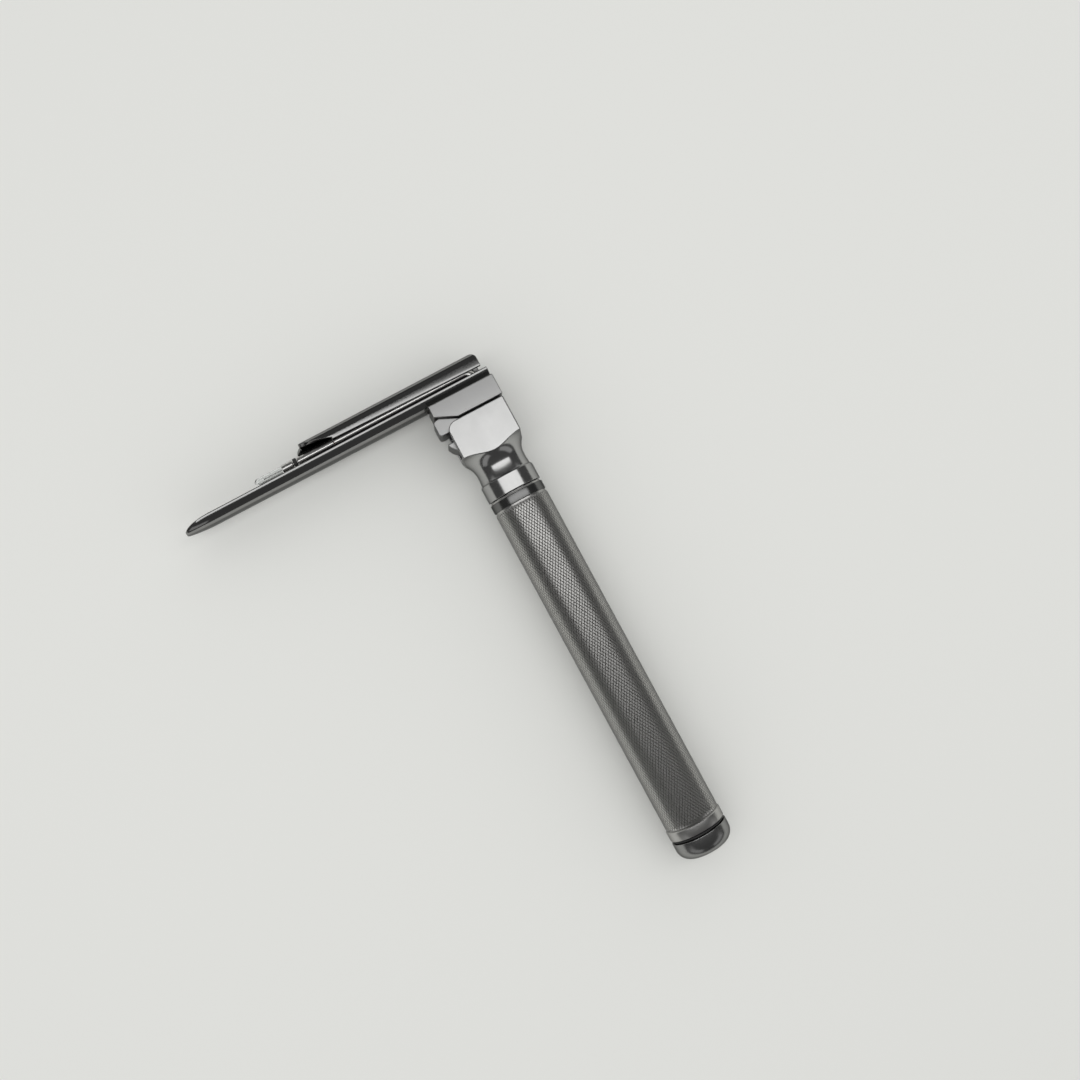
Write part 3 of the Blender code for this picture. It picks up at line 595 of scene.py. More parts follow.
def eased(points: Points, radius: float, steps: int = 4) -> Points:
    """Round each inner corner of a line.

    Each corner becomes a curve between two points set back along its sides, pulled towards the corner by
    the weights of a parabola: (1 - share) squared, twice share times (1 - share), and share squared.

    Args:
        points: the line's points.
        radius: how far the curve starts and ends from its corner, at most.
        steps: steps of a curve.

    Returns:
        The rounded line.
    """
    line = np.array(points)
    corner = line[1:-1]
    back = line[:-2] - corner
    ahead = line[2:] - corner
    back_length = np.linalg.norm(back, axis=1)[:, None]
    ahead_length = np.linalg.norm(ahead, axis=1)[:, None]
    reach = np.minimum(np.minimum(back_length, ahead_length) * CORNER_SHARE, radius)
    start = (corner + back / back_length * reach)[:, None]
    end = (corner + ahead / ahead_length * reach)[:, None]
    share = np.linspace(0.0, 1.0, steps + 1)[None, :, None]
    curve = start * (1 - share) ** 2 + corner[:, None] * (2 * share * (1 - share)) + end * share**2
    return [tuple(point) for point in np.concatenate([line[:1], curve.reshape(-1, 2), line[-1:]])]


def spin_points(radius: np.ndarray, height: np.ndarray, angle: np.ndarray, axis: Axis) -> np.ndarray:
    """Points round an axis: two sides from the radius times cosine and sine, the third from the height.

    Args:
        radius: distances from the axis.
        height: places along the axis.
        angle: angles round it in radians.
        axis: the axis.

    Returns:
        Points in millimetres, in the shape that the three make together.
    """
    side = radius * np.cos(angle)
    other = radius * np.sin(angle)
    height = np.broadcast_to(height, side.shape)
    orders = {
        Axis.HANDLE: (side, height, other),
        Axis.LAMP: (height, side, other),
        Axis.ACROSS: (side, other, height),
    }
    return np.stack(orders[axis], axis=-1)


def spin_line(line: Points, angle: np.ndarray, axis: Axis) -> np.ndarray:
    """Points of a profile of (radius, height) pairs at every angle round an axis."""
    table = np.array(line)
    return spin_points(table[:, :1], table[:, 1:], angle, axis)


def lathe(name: str, profile: Points, turns: int, axis: Axis, centre: Triple) -> bpy.types.Object:
    """Spin a profile round an axis.

    Args:
        name: the piece's name.
        profile: (radius, height) pairs; a profile that starts off the axis is a closed loop.
        turns: steps in a turn.
        axis: the axis.
        centre: a point that the axis goes through.

    Returns:
        The piece.
    """
    points = spin_line(profile, round_turn(turns), axis) + np.array(centre)
    closed = profile[0][0] > ON_AXIS
    return SHOP.piece(name, points, grid_faces(len(profile), turns, closed, True))


def drill(
    item: bpy.types.Object,
    radius: float,
    span: tuple[float, float],
    turns: int,
    axis: Axis,
    centre: Triple,
) -> None:
    """Cut a straight round hole.

    Args:
        item: the piece to cut.
        radius: the hole's radius.
        span: where the tool starts and ends along the axis.
        turns: steps in a turn.
        axis: the hole's axis.
        centre: a point that the axis goes through.
    """
    low, high = span
    line = [(0.0, high), (radius, high), (radius, low), (0.0, low)]
    SHOP.carve(item, lathe("drill", line, turns, axis, centre), Cut.REMOVE)


def sweep(name: str, path: np.ndarray, up: Triple, radius: float) -> bpy.types.Object:
    """Carry a round section along a path, on two directions square to the path's own.

    Args:
        name: the piece's name.
        path: points in millimetres about the datum.
        up: a direction that the path never runs along; the section's sides are set square to it.
        radius: the section's radius.

    Returns:
        The piece, its ends closed by their last rings meeting on the path.
    """
    heading = np.gradient(path, axis=0)
    heading /= np.linalg.norm(heading, axis=1)[:, None]
    side = np.cross(heading, np.array(up))
    side /= np.linalg.norm(side, axis=1)[:, None]
    other = np.cross(side, heading)
    angle = round_turn(WIRE_SIDES)[..., None]
    rings = path[:, None] + radius * (np.cos(angle) * side[:, None] + np.sin(angle) * other[:, None])
    ends = [np.repeat(path[[end]], WIRE_SIDES, axis=0)[None] for end in (0, -1)]
    points = np.concatenate([ends[0], rings, ends[1]])
    return SHOP.piece(name, points, grid_faces(len(points), WIRE_SIDES, False, True))


def prism(
    name: str, outline: Points, low: float, high: float, axis: Axis = Axis.ACROSS
) -> bpy.types.Object:
    """Carry an outline straight along an axis, with flat ends.

    Args:
        name: the piece's name.
        outline: (x, y) pairs for a prism across the part, (z, y) pairs for one along the lamp's axis.
        low: where it starts along the axis.
        high: where it ends.
        axis: the axis that it is carried along.

    Returns:
        The piece.
    """
    line = np.array(outline)
    count = len(line)
    order = {Axis.ACROSS: [0, 1, 2], Axis.LAMP: [2, 1, 0]}[axis]
    levels = [np.column_stack([line, np.full(count, level)])[:, order] for level in (low, high)]
    sides = grid_faces(2, count, False, True).tolist()
    ends = [list(range(count)), list(range(count, 2 * count))]
    return SHOP.raised(name, np.concatenate(levels), sides + ends)


@dataclass
class Handle:
    """The knurled tube, the head, the plain band and the cap, in millimetres about the datum."""

    radius: float = 8.5
    bore: float = 7.4
    tube_top: float = -25.9
    band: float = 3.2
    band_gap: float = 0.01
    band_edge: float = 0.18
    band_turns: int = 128
    groove: float = 0.5
    groove_depth: float = 0.45
    seat_edge: float = 0.12
    seat_steps: int = 2
    tube_end: float = -138.1
    rim_radius: float = 8.75
    rim_height: float = 2.9
    rim_slope: float = 0.4
    rim_edge: float = 0.25
    rim_steps: int = 3
    knurl_foot: float = 0.3
    knurl_depth: float = 0.24
    knurl_starts: int = 58
    knurl_angle: float = 30.0
    knurl_steps: int = 4
    knurl_flatness: float = 5.5
    knurl_fade: float = 2.0
    knurl_crease: float = 20.0
    groove_share: float = 0.13
    cheek_half: float = 9.4
    cheek_corner: float = 3.0
    cheek_steps: int = 16
    square_corner: float = 0.5
    square_points: int = 33
    square_steps: int = 5
    slot_half: float = 6.7
    slot_depth: float = 10.0
    flat_corner: float = 11.0
    flat_rows: int = 5
    neck_radius: float = 7.8
    neck_depth: float = 17.1
    neck_rows: int = 17
    neck_margin: float = 0.1
    head_edge: float = 0.22
    bush_bore: float = 4.0
    bush_turns: int = 64
    pin_x: float = -6.2
    pin_y: float = -3.5
    pin_bore: float = 1.45
    pin_seat: float = 1.4
    pin_turns: int = 48
    collar_depth: float = 20.3
    collar_end: float = -25.6
    collar_step: float = 0.45
    collar_slope: float = 0.25
    collar_edge: float = 0.2
    collar_steps: int = 6
    flare_rows: int = 9
    spigot_end: float = -30.0
    spigot_radius: float = 7.1
    cap_end: float = -145.3
    cap_shoulder: float = -139.1
    cap_corner: float = 3.9
    cap_steps: int = 16
    cap_edge: float = 0.25
    cap_bore: float = 5.6
    cap_bore_edge: float = 0.3
    cap_floor: float = 2.7
    cap_spigot: float = 4.2
    cap_turns: int = 160
    thread_pitch: float = 1.0
    thread_depth: float = 0.2
    thread_sharpness: float = 1.6
    thread_start: float = 0.15
    thread_stop: float = 0.4
    thread_fade: float = 0.6
    thread_rows: int = 80

    def build(self) -> None:
        """Make and fit every piece of the handle."""
        SHOP.fit(self.grip(), "handle", "grip", ("handle_tube",))
        SHOP.fit(self.head(), "handle", "head", ("head",))
        SHOP.fit(self.plain_band(), "handle", "band")
        SHOP.fit(self.cap(), "cap", "cap", ("bottom_cap",))

    def grip(self) -> bpy.types.Object:
        """The tube with a true diamond knurl.

        Two families of V grooves wind opposite ways round the tube. The surface's height at a point is set
        by its distance from the nearest groove of either family, so that diamonds stand between the
        grooves, and each cell is split along the groove that is nearest, which keeps the edges straight.
        A point's angle and level come from its phases across the two families, crowded towards the grooves.

        Returns:
            The tube, with a seat for the plain band above the knurl and a rim below it.
        """
        steps = self.knurl_steps
        per_turn = self.knurl_starts * steps
        period = FULL_TURN * self.radius / self.knurl_starts / math.tan(math.radians(self.knurl_angle))
        top = self.tube_top - self.band - self.groove
        end = self.tube_end + self.rim_height + self.knurl_foot
        rows = int(round((top - end) / period)) * steps
        i = np.arange(rows + 1)[:, None]
        j = np.arange(per_turn)[None, :]
        rising = self.crowd((i + j) / steps)
        falling = self.crowd((i - j) / steps)
        fade = np.minimum(np.minimum(i, rows - i) / self.knurl_fade, 1.0)
        radius = self.radius - self.knurl_depth * (1.0 - self.diamond(i / steps, j / steps) * fade)
        angle = math.pi * (rising - falling) / self.knurl_starts
        level = top + (end - top) * (rising + falling) * steps / (2 * rows)
        deep = self.radius - self.groove_depth
        seat = [(self.bore, self.tube_top), (deep, self.tube_top), (deep, top)]
        rim = [(deep, end), (self.rim_radius, end - self.rim_slope), (self.rim_radius, self.tube_end)]
        rim += [(self.bore, self.tube_end)]
        above = spin_line(eased(seat, self.seat_edge, self.seat_steps), round_turn(per_turn), Axis.HANDLE)
        below = spin_line(eased(rim, self.rim_edge, self.rim_steps), round_turn(per_turn), Axis.HANDLE)
        points = np.concatenate([above, spin_points(radius, level, angle, Axis.HANDLE), below])
        faces = grid_faces(len(points), per_turn, True, True)
        cell_row = np.repeat(np.arange(len(points)), per_turn) - len(above)
        cell_turn = np.tile(np.arange(per_turn), len(points))
        middle = 0.5
        along = (cell_row + middle) / steps
        around = (cell_turn + middle) / steps
        leaning = to_whole(along + around) < to_whole(along - around)
        one_way = np.concatenate([faces[:, [0, 1, 3]], faces[:, [1, 2, 3]]])
        other_way = np.concatenate([faces[:, [0, 1, 2]], faces[:, [0, 2, 3]]])
        chosen = np.where(np.tile(leaning, 2)[:, None], one_way, other_way)
        return SHOP.piece("knurled_grip", points, chosen, self.knurl_crease)

    def crowd(self, phase: np.ndarray) -> np.ndarray:
        """Move the quarter points of each period towards its grooves, to leave wide flats between them.

        Args:
            phase: places across one family of grooves, in periods.

        Returns:
            The places after the move; grooves and the middles between them stay.
        """
        groove = np.round(phase)
        share = self.groove_share
        quarters = [-0.5, -0.25, 0.0, 0.25, 0.5]
        moved = [-0.5, -share, 0.0, share, 0.5]
        return groove + np.interp(phase - groove, quarters, moved)

    def diamond(self, along: np.ndarray, around: np.ndarray) -> np.ndarray:
        """Height of the knurl from 0 in a groove to 1 on a diamond, steep at the groove and easy above."""
        near = 2.0 * np.minimum(to_whole(along + around), to_whole(along - around))
        return 1.0 - (1.0 - near) ** self.knurl_flatness

    def plain_band(self) -> bpy.types.Object:
        """The smooth band above the grip: a turned sleeve with broken edges between two fine grooves.

        Returns:
            The band.
        """
        top = self.tube_top - self.groove
        low = self.tube_top - self.band
        deep = self.radius - self.groove_depth + self.band_gap
        line = [(deep, low), (deep, top), (self.radius, top), (self.radius, low)]
        line += [(deep + self.band_gap, low)]
        profile = eased(line, self.band_edge)
        return lathe("plain_band", profile, self.band_turns, Axis.HANDLE, (0.0, 0.0, 0.0))

    def head_blank(self) -> bpy.types.Object:
        """The head before it is cut.

        Above, it is a square prism, and below, a body of revolution whose radius follows a quarter ellipse
        into the neck. Each column of the grid runs down the prism to the ellipse at its own depth, so that
        the edge between the flats and the neck is a row of points.

        Returns:
            The blank, closed above and below.
        """
        square = self.square_turn()
        around = np.arctan2(square[:, 1], square[:, 0])
        far = np.hypot(square[:, 0], square[:, 1])
        reach = self.cheek_half * math.sqrt(2) + self.neck_margin
        wide = reach - self.neck_radius
        tall = self.neck_depth - self.flat_corner
        start = np.arccos(np.clip((reach - far) / wide, -1.0, 1.0))
        edge = -self.neck_depth + tall * np.sin(start)
        drop = np.linspace(0.0, 1.0, self.flat_rows)[:, None]
        cove = np.linspace(1.0, 0.0, self.neck_rows)[1:, None] * start
        line = np.array(self.collar_line())
        every = np.ones_like(far)
        flats = np.repeat(far[None, :], self.flat_rows, axis=0)
        radius = np.concatenate([flats, reach - wide * np.cos(cove), line[:, :1] * every])
        level = np.concatenate([drop * edge, -self.neck_depth + tall * np.sin(cove), line[:, 1:] * every])
        points = spin_points(radius, level, np.broadcast_to(around, radius.shape), Axis.HANDLE)
        rows, columns = radius.shape
        last = (rows - 1) * columns
        faces = grid_faces(rows, columns, False, True).tolist()
        faces += [list(range(columns)), list(range(last, last + columns))]
        return SHOP.raised("forked_head", points.reshape(-1, 3), faces)

    def head(self) -> bpy.types.Object:
        """The forked head: the blank cut to its side's outline, slotted, rounded and bored.

        Returns:
            The head.
        """
        head = self.head_blank()
        half = self.cheek_half
        past = half + TOOL_MARGIN
        low = self.spigot_end - TOOL_MARGIN
        corner = (self.cheek_corner - half, -self.cheek_corner)
        side = [(-past, low), (past, low), (past, 0.0)]
        side += arc(corner, self.cheek_corner, 90, 180, self.cheek_steps)
        side += [(-half, -self.flat_corner), (-past, -self.flat_corner)]
        SHOP.carve(head, prism("side_tool", side, -past, past), Cut.KEEP)
        slot = [(-past, -self.slot_depth), (past, -self.slot_depth)]
        slot += [(past, TOOL_MARGIN), (-past, TOOL_MARGIN)]
        SHOP.carve(head, prism("slot_tool", slot, -self.slot_half, self.slot_half), Cut.REMOVE)
        SHOP.clean(head, True)
        SHOP.soften(head, self.head_edge)
        drill(head, self.bush_bore, (low, TOOL_MARGIN), self.bush_turns, Axis.HANDLE, (0.0, 0.0, 0.0))
        seat = (-past, self.slot_half + self.pin_seat)
        drill(head, self.pin_bore, seat, self.pin_turns, Axis.ACROSS, (self.pin_x, self.pin_y, 0.0))
        SHOP.polish(head)
        return head

    def square_turn(self) -> np.ndarray:
        """Points round a square with slightly rounded corners: one side and one corner, turned four times.

        Returns:
            (x, z) rows, closer together at the corners.
        """
        inner = self.cheek_half - self.square_corner
        spread = np.linspace(-inner, inner, self.square_points)[:-1]
        side = np.column_stack([np.full(len(spread), self.cheek_half), spread])
        corner = arc((inner, inner), self.square_corner, 0, 90, self.square_steps)[:-1]
        quarter = np.concatenate([side, corner])
        turns = np.radians(np.arange(0.0, 360.0, 90.0))
        return np.concatenate(
            [
                quarter @ np.array([[math.cos(turn), math.sin(turn)], [-math.sin(turn), math.cos(turn)]])
                for turn in turns
            ]
        )

    def collar_line(self) -> Points:
        """The collar and spigot below the neck: a flare by the square of its depth, a shoulder and a band.

        Returns:
            (radius, height) pairs from the neck down.
        """
        flare = self.radius - self.collar_step
        share = np.linspace(0.0, 1.0, self.flare_rows)[1:]
        depth = self.collar_depth - self.neck_depth
        radius = self.neck_radius + (flare - self.neck_radius) * share**2
        line = list(zip(radius, -self.neck_depth - depth * share))
        band = [line[-1], (self.radius, -self.collar_depth - self.collar_slope)]
        band += [(self.radius, self.collar_end), (self.spigot_radius, self.collar_end)]
        band += [(self.spigot_radius, self.spigot_end)]
        return line[:-1] + eased(band, self.collar_edge, self.collar_steps)

    def cap(self) -> bpy.types.Object:
        """The domed cap with a threaded spigot: ridges climb round the spigot by one pitch a turn.

        Returns:
            The cap.
        """
        floor = self.cap_end + self.cap_floor
        top = self.cap_shoulder + self.cap_spigot
        inside = [(0.0, floor), (self.cap_bore, floor), (self.cap_bore, top), (self.spigot_radius, top)]
        outside = [(self.spigot_radius, self.cap_shoulder), (self.rim_radius, self.cap_shoulder)]
        outside += [(self.rim_radius, self.cap_end + self.cap_corner)]
        centre = (self.rim_radius - self.cap_corner, self.cap_end + self.cap_corner)
        dome = arc(centre, self.cap_corner, 0, -90, self.cap_steps)[1:] + [(0.0, self.cap_end)]
        angle = round_turn(self.cap_turns)
        stop = self.cap_shoulder + self.thread_stop
        level = np.linspace(top - self.thread_start, stop, self.thread_rows)[:, None]
        ridge = 1.0 + self.thread_sharpness * (thread_ridge(level, angle, self.thread_pitch) - 1.0)
        room = np.minimum(top - level, level - self.cap_shoulder)
        ends = np.clip(room / self.thread_fade, 0.0, 1.0)
        radius = self.spigot_radius + self.thread_depth * np.clip(ridge, 0.0, 1.0) * ends
        above = spin_line(eased(inside, self.cap_bore_edge), angle, Axis.HANDLE)
        below = spin_line(eased(outside, self.cap_edge) + dome, angle, Axis.HANDLE)
        points = np.concatenate([above, spin_points(radius, level, angle, Axis.HANDLE), below])
        return SHOP.piece("domed_cap", points, grid_faces(len(points), self.cap_turns, False, True))


@dataclass
class Blade:
    """The trough, web, flange and lip in one formed sheet, with the heel under it, in millimetres."""

    floor: float = 6.9
    tip: float = -89.9
    rear: float = 9.6
    wall: float = 1.2
    half_width: float = 6.0
    end_half_width: float = 5.0
    height: float = 9.1
    near_edge: float = 3.3
    trough_corner: float = 3.0
    trough_share: float = 0.6
    flange_corner: float = 2.6
    flange_rear: float = 8.3
    flange_front: float = -51.5
    flange_end_corner: float = 2.0
    flange_stations: int = 25
    straight_stations: int = 8
    lip_rear: float = 4.3
    lip_front: float = 5.4
    lip_step_x: float = -39.8
    lip_step: float = 0.7
    tip_length: float = 9.0
    tip_rise: float = 0.6
    tip_blunt: float = 0.3
    tip_stations: int = 14
    wall_share: float = 0.5
    arc_steps: int = 10
    sheet_edge: float = 0.2
    sheet_crease: float = 40.0
    block_front: float = -11.3
    block_rear: float = 9.75
    block_rise: float = 0.6
    block_top: float = 7.15
    block_half: float = 8.9
    block_edge: float = 0.28
    chamfer_length: float = 6.5
    chamfer_height: float = 3.0
    seat_front: float = -13.0
    seat_rear: float = 11.0
    seat_gap: float = 0.3
    seat_steps: int = 12
    tongue_rear: float = 9.0
    tongue_half: float = 6.35
    pin_x: float = -6.2
    pin_y: float = -3.5
    notch_half: float = 1.45
    hook_radius: float = 5.3
    hook_steps: int = 16
    nose_x: float = -12.1
    nose_top: float = 2.9
    nose_edge: float = 1.0
    nose_steps: int = 6
    pocket_front: float = -3.0
    pocket_rear: float = 7.2
    pocket_half: float = 5.0
    pocket_depth: float = 2.7
    ball_x: float = 0.0
    ball_y: float = -2.6
    ball_bore: float = 1.4
    ball_web: float = 2.0
    ball_rim: float = 0.2
    ball_turns: int = 32
    light_x: float = 5.0
    light_z: float = 3.0
    light_bore: float = 1.55
    light_turns: int = 40

    def build(self) -> None:
        """Make and fit the blade and its heel."""
        # The blade's chrome carries a painted dark reflection in its colour.
        SHOP.fit(self.body(), "blade", "blade", ("blade_body",))
        SHOP.fit(self.heel(), "blade", "block", ("heel",))

    def trough_radius(self, half: float) -> float:
        """The trough's corner radius at a half width."""
        return min(self.trough_corner, half * self.trough_share)

    def section(self, half: float, edge: float, lip: float, floor: float, offset: float) -> np.ndarray:
        """The C-shaped section: straight runs and quarter circles from the near edge round to the lip.

        Args:
            half: its half width.
            edge: the height of the near edge.
            lip: the height of the lip's end.
            floor: the height of the trough's floor.
            offset: how far the line is set in from the outside.

        Returns:
            (z, y) rows, the same number at every station.
        """
        wide = half - offset
        trough = self.trough_radius(half)
        top = self.height - self.flange_corner
        inner = self.flange_corner - offset
        line = [(wide, edge)]
        line += arc((half - trough, floor + trough), trough - offset, 0, -90, self.arc_steps)
        line += [(0.0, floor + offset)]
        line += arc((trough - half, floor + trough), trough - offset, -90, -180, self.arc_steps)
        line += [(-wide, edge), (-wide, (edge + top) / 2)]
        line += arc((self.flange_corner - half, top), inner, 180, 90, self.arc_steps)
        line += [(0.0, self.height - offset)]
        line += arc((half - self.flange_corner, top), inner, 90, 0, self.arc_steps)
        line += [(wide, lip + self.lip_step), (wide, lip)]
        return np.array(line)

    def trough_cells(self) -> int:
        """How many cells of the section belong to the trough: two arcs, the floor and the two edges."""
        return 2 * (self.arc_steps + 1) + 2

    def lip_points(self) -> int:
        """How many points of the section belong to the lip: its arc and two points below that."""
        return (self.arc_steps + 1) + 2

    def limits(
        self, heights: np.ndarray, lip_side: np.ndarray, lip: float
    ) -> tuple[np.ndarray, np.ndarray]:
        """Where the flange starts and ends along the blade: on quarter circles, and on a slant at the lip.

        Args:
            heights: the heights of the section's points.
            lip_side: which of them belong to the lip.
            lip: the height of the lip's end.

        Returns:
            The rear and the front limit of each point.
        """
        corner = self.flange_end_corner
        into = np.clip(heights - (self.height - corner), 0.0, corner)
        round_in = corner - np.sqrt(corner**2 - into**2)
        fall = np.clip((self.height - heights) / (self.height - lip - self.lip_step), 0.0, 1.0)
        slant = self.flange_front + corner + (self.lip_step_x - self.flange_front - corner) * fall
        return self.flange_rear - round_in, np.where(lip_side, slant, self.flange_front + round_in)

    def station(self, share: float, offset: float) -> np.ndarray:
        """One section of the blade.

        Towards the tip the trough's half width and its edges fall away as the side of an ellipse does, its
        floor rises by the square of the way into the tip, and its inner skin stops one wall short of it.

        Args:
            share: how far along: 0 to 1 under the flange, 1 to 2 from there to the tip.
            offset: how far the skin is set in from the outside.

        Returns:
            The section's points.
        """
        along = min(share, 1.0)
        beyond = max(share - 1.0, 0.0)
        base = self.rear + (self.flange_front - self.rear) * along
        base -= (self.flange_front - self.tip) * beyond
        taper = (self.rear - base) / (self.rear - self.tip)
        into = float(np.clip(1.0 - (base - self.tip) / self.tip_length, 0.0, 1.0))
        ease = math.sqrt(1.0 - (1.0 - self.tip_blunt**2) * into**2)
        half = (self.half_width + (self.end_half_width - self.half_width) * taper) * ease
        floor = self.tip_rise * into**2
        edge = floor + max(self.trough_radius(half), self.near_edge * ease)
        lip = self.lip_rear + (self.lip_front - self.lip_rear) * along
        outer = self.section(half, edge, lip, floor, 0.0)
        line = self.section(half, edge, lip, floor, min(offset, half * self.wall_share))
        number = np.arange(len(line))
        lip_side = number >= len(line) - self.lip_points()
        rear, front = self.limits(outer[:, 1], lip_side, lip)
        upper = number > self.trough_cells()
        x = np.where(upper, rear + (front - rear) * along, base + offset * into)
        return np.stack([x, line[:, 1] + self.floor, line[:, 0]], axis=1)

    def body(self) -> bpy.types.Object:
        """The formed sheet: the full section as far as the flange reaches, then the trough to the tip.

        Returns:
            The sheet, its edges rounded and the light tube's hole drilled.
        """
        flange = np.linspace(0.0, 1.0, self.flange_stations)
        tip_share = self.tip_length / (self.flange_front - self.tip)
        straight = np.linspace(0.0, 1.0 - tip_share, self.straight_stations)[1:]
        blunt = math.acos(self.tip_blunt)
        into = np.sin(np.linspace(0.0, blunt, self.tip_stations)[1:]) / math.sin(blunt)
        tip = 1.0 - tip_share * (1.0 - into)
        stations = np.concatenate([flange, 1.0 + straight, 1.0 + tip])
        outer, inner = [
            np.array([self.station(share, offset) for share in stations]) for offset in (0.0, self.wall)
        ]
        present = np.ones((len(stations) - 1, outer.shape[1] - 1), dtype=bool)
        present[len(flange) - 1 :, self.trough_cells() :] = False
        body = self.shell("blade_body_formed", outer, inner, present)
        SHOP.soften(body, self.sheet_edge, self.sheet_crease)
        self.light_hole(body, self.floor - TOOL_MARGIN, self.floor + self.wall + TOOL_MARGIN)
        SHOP.polish(body)
        return body

    @staticmethod
    def shell(name: str, outer: np.ndarray, inner: np.ndarray, present: np.ndarray) -> bpy.types.Object:
        """Skin a wall between two grids and close every edge where a present cell has no neighbour.

        Args:
            name: the piece's name.
            outer: the outer grid of points.
            inner: the inner grid.
            present: which cells of the grids there are.

        Returns:
            The piece.
        """
        rows, columns = outer.shape[:2]
        inside = rows * columns
        i, j = np.nonzero(present)
        ring = [i * columns + j, i * columns + j + 1, (i + 1) * columns + j + 1, (i + 1) * columns + j]
        faces = [np.stack(ring, axis=1), np.stack(ring[::-1], axis=1) + inside]
        padded = np.pad(present, 1)
        for corner, (down, over) in enumerate(((-1, 0), (0, 1), (1, 0), (0, -1))):
            bare = ~padded[i + 1 + down, j + 1 + over]
            one = ring[corner][bare]
            two = ring[(corner + 1) % len(ring)][bare]
            faces.append(np.stack([two, one, one + inside, two + inside], axis=1))
        points = np.concatenate([outer.reshape(-1, 3), inner.reshape(-1, 3)])
        return SHOP.piece(name, points, np.concatenate(faces))

    def heel(self) -> bpy.types.Object:
        """The heel: a chamfered block, a tongue with a hook round the pin, and a seat for the trough.

        Returns:
            The heel, its edges rounded and its holes cut.
        """
        block = [(self.block_rear, self.block_rise), (self.block_rear, self.block_top)]
        block += [(self.block_front, self.block_top)]
        block += [(self.block_front, self.block_rise + self.chamfer_height)]
        block += [(self.block_front + self.chamfer_length, self.block_rise)]
        heel = prism("hook_heel", block, -self.block_half, self.block_half)
        tongue = prism("tongue_tool", self.tongue(), -self.tongue_half, self.tongue_half)
        SHOP.carve(heel, tongue, Cut.JOIN)
        wide = self.half_width + self.seat_gap
        corner = self.trough_corner + self.seat_gap
        base = self.floor - self.seat_gap + corner
        seat = arc((wide - corner, base), corner, 0, -90, self.seat_steps)
        seat += arc((corner - wide, base), corner, -90, -180, self.seat_steps)
        SHOP.carve(heel, prism("seat_tool", seat, self.seat_front, self.seat_rear, Axis.LAMP), Cut.REMOVE)
        SHOP.clean(heel, True)
        SHOP.soften(heel, self.block_edge)
        low = self.pin_y - self.hook_radius
        self.light_hole(heel, low + TOOL_MARGIN, self.block_top + TOOL_MARGIN)
        floor = low + self.pocket_depth
        pocket = [(self.pocket_front, low - TOOL_MARGIN), (self.pocket_rear, low - TOOL_MARGIN)]
        pocket += [(self.pocket_rear, floor), (self.pocket_front, floor)]
        SHOP.carve(heel, prism("pocket_tool", pocket, -self.pocket_half, self.pocket_half), Cut.REMOVE)
        for side in Side:
            SHOP.carve(heel, self.ball_tool(side), Cut.REMOVE)
        SHOP.polish(heel)
        return heel

    def light_hole(self, item: bpy.types.Object, low: float, high: float) -> None:
        """Drill the hole that the light tube drops through."""
        centre = (self.light_x, 0.0, self.light_z)
        drill(item, self.light_bore, (low, high), self.light_turns, Axis.HANDLE, centre)

    def ball_tool(self, side: Side) -> bpy.types.Object:
        """The tool for one detent's bore, which ends in a chamfered rim.

        Args:
            side: the side of the tongue.

        Returns:
            The tool.
        """
        rim = self.ball_bore + self.ball_rim
        web = side.value * self.ball_web / 2
        face = side.value * self.tongue_half
        inset = side.value * (self.tongue_half - self.ball_rim)
        past = side.value * (self.tongue_half + TOOL_MARGIN)
        line = [(0.0, web), (self.ball_bore, web), (self.ball_bore, inset)]
        line += [(rim, face), (rim, past), (0.0, past)]
        return lathe("ball_tool", line, self.ball_turns, Axis.ACROSS, (self.ball_x, self.ball_y, 0.0))

    def tongue(self) -> Points:
        """The tongue's side: the rear, the round nose, the notch round the pin and the hook's round jaw.

        Returns:
            (x, y) pairs.
        """
        centre = (self.pin_x, self.pin_y)
        middle = (self.block_rise + self.block_top) / 2
        nose = self.nose_x + self.nose_edge
        notch_top = self.pin_y + self.notch_half
        mouth = math.degrees(math.asin(self.notch_half / self.hook_radius))
        line = [(self.tongue_rear, middle), (self.block_front + self.chamfer_length, middle)]
        line += [(nose, self.nose_top)]
        line += arc((nose, self.nose_top - self.nose_edge), self.nose_edge, 90, 180, self.nose_steps)[1:]
        line += arc((nose, notch_top + self.nose_edge), self.nose_edge, 180, 270, self.nose_steps)
        line += arc(centre, self.notch_half, 90, -90, self.hook_steps)
        line += arc(centre, self.hook_radius, 180 + mouth, 270, self.hook_steps)
        return line + [(self.tongue_rear, self.pin_y - self.hook_radius)]


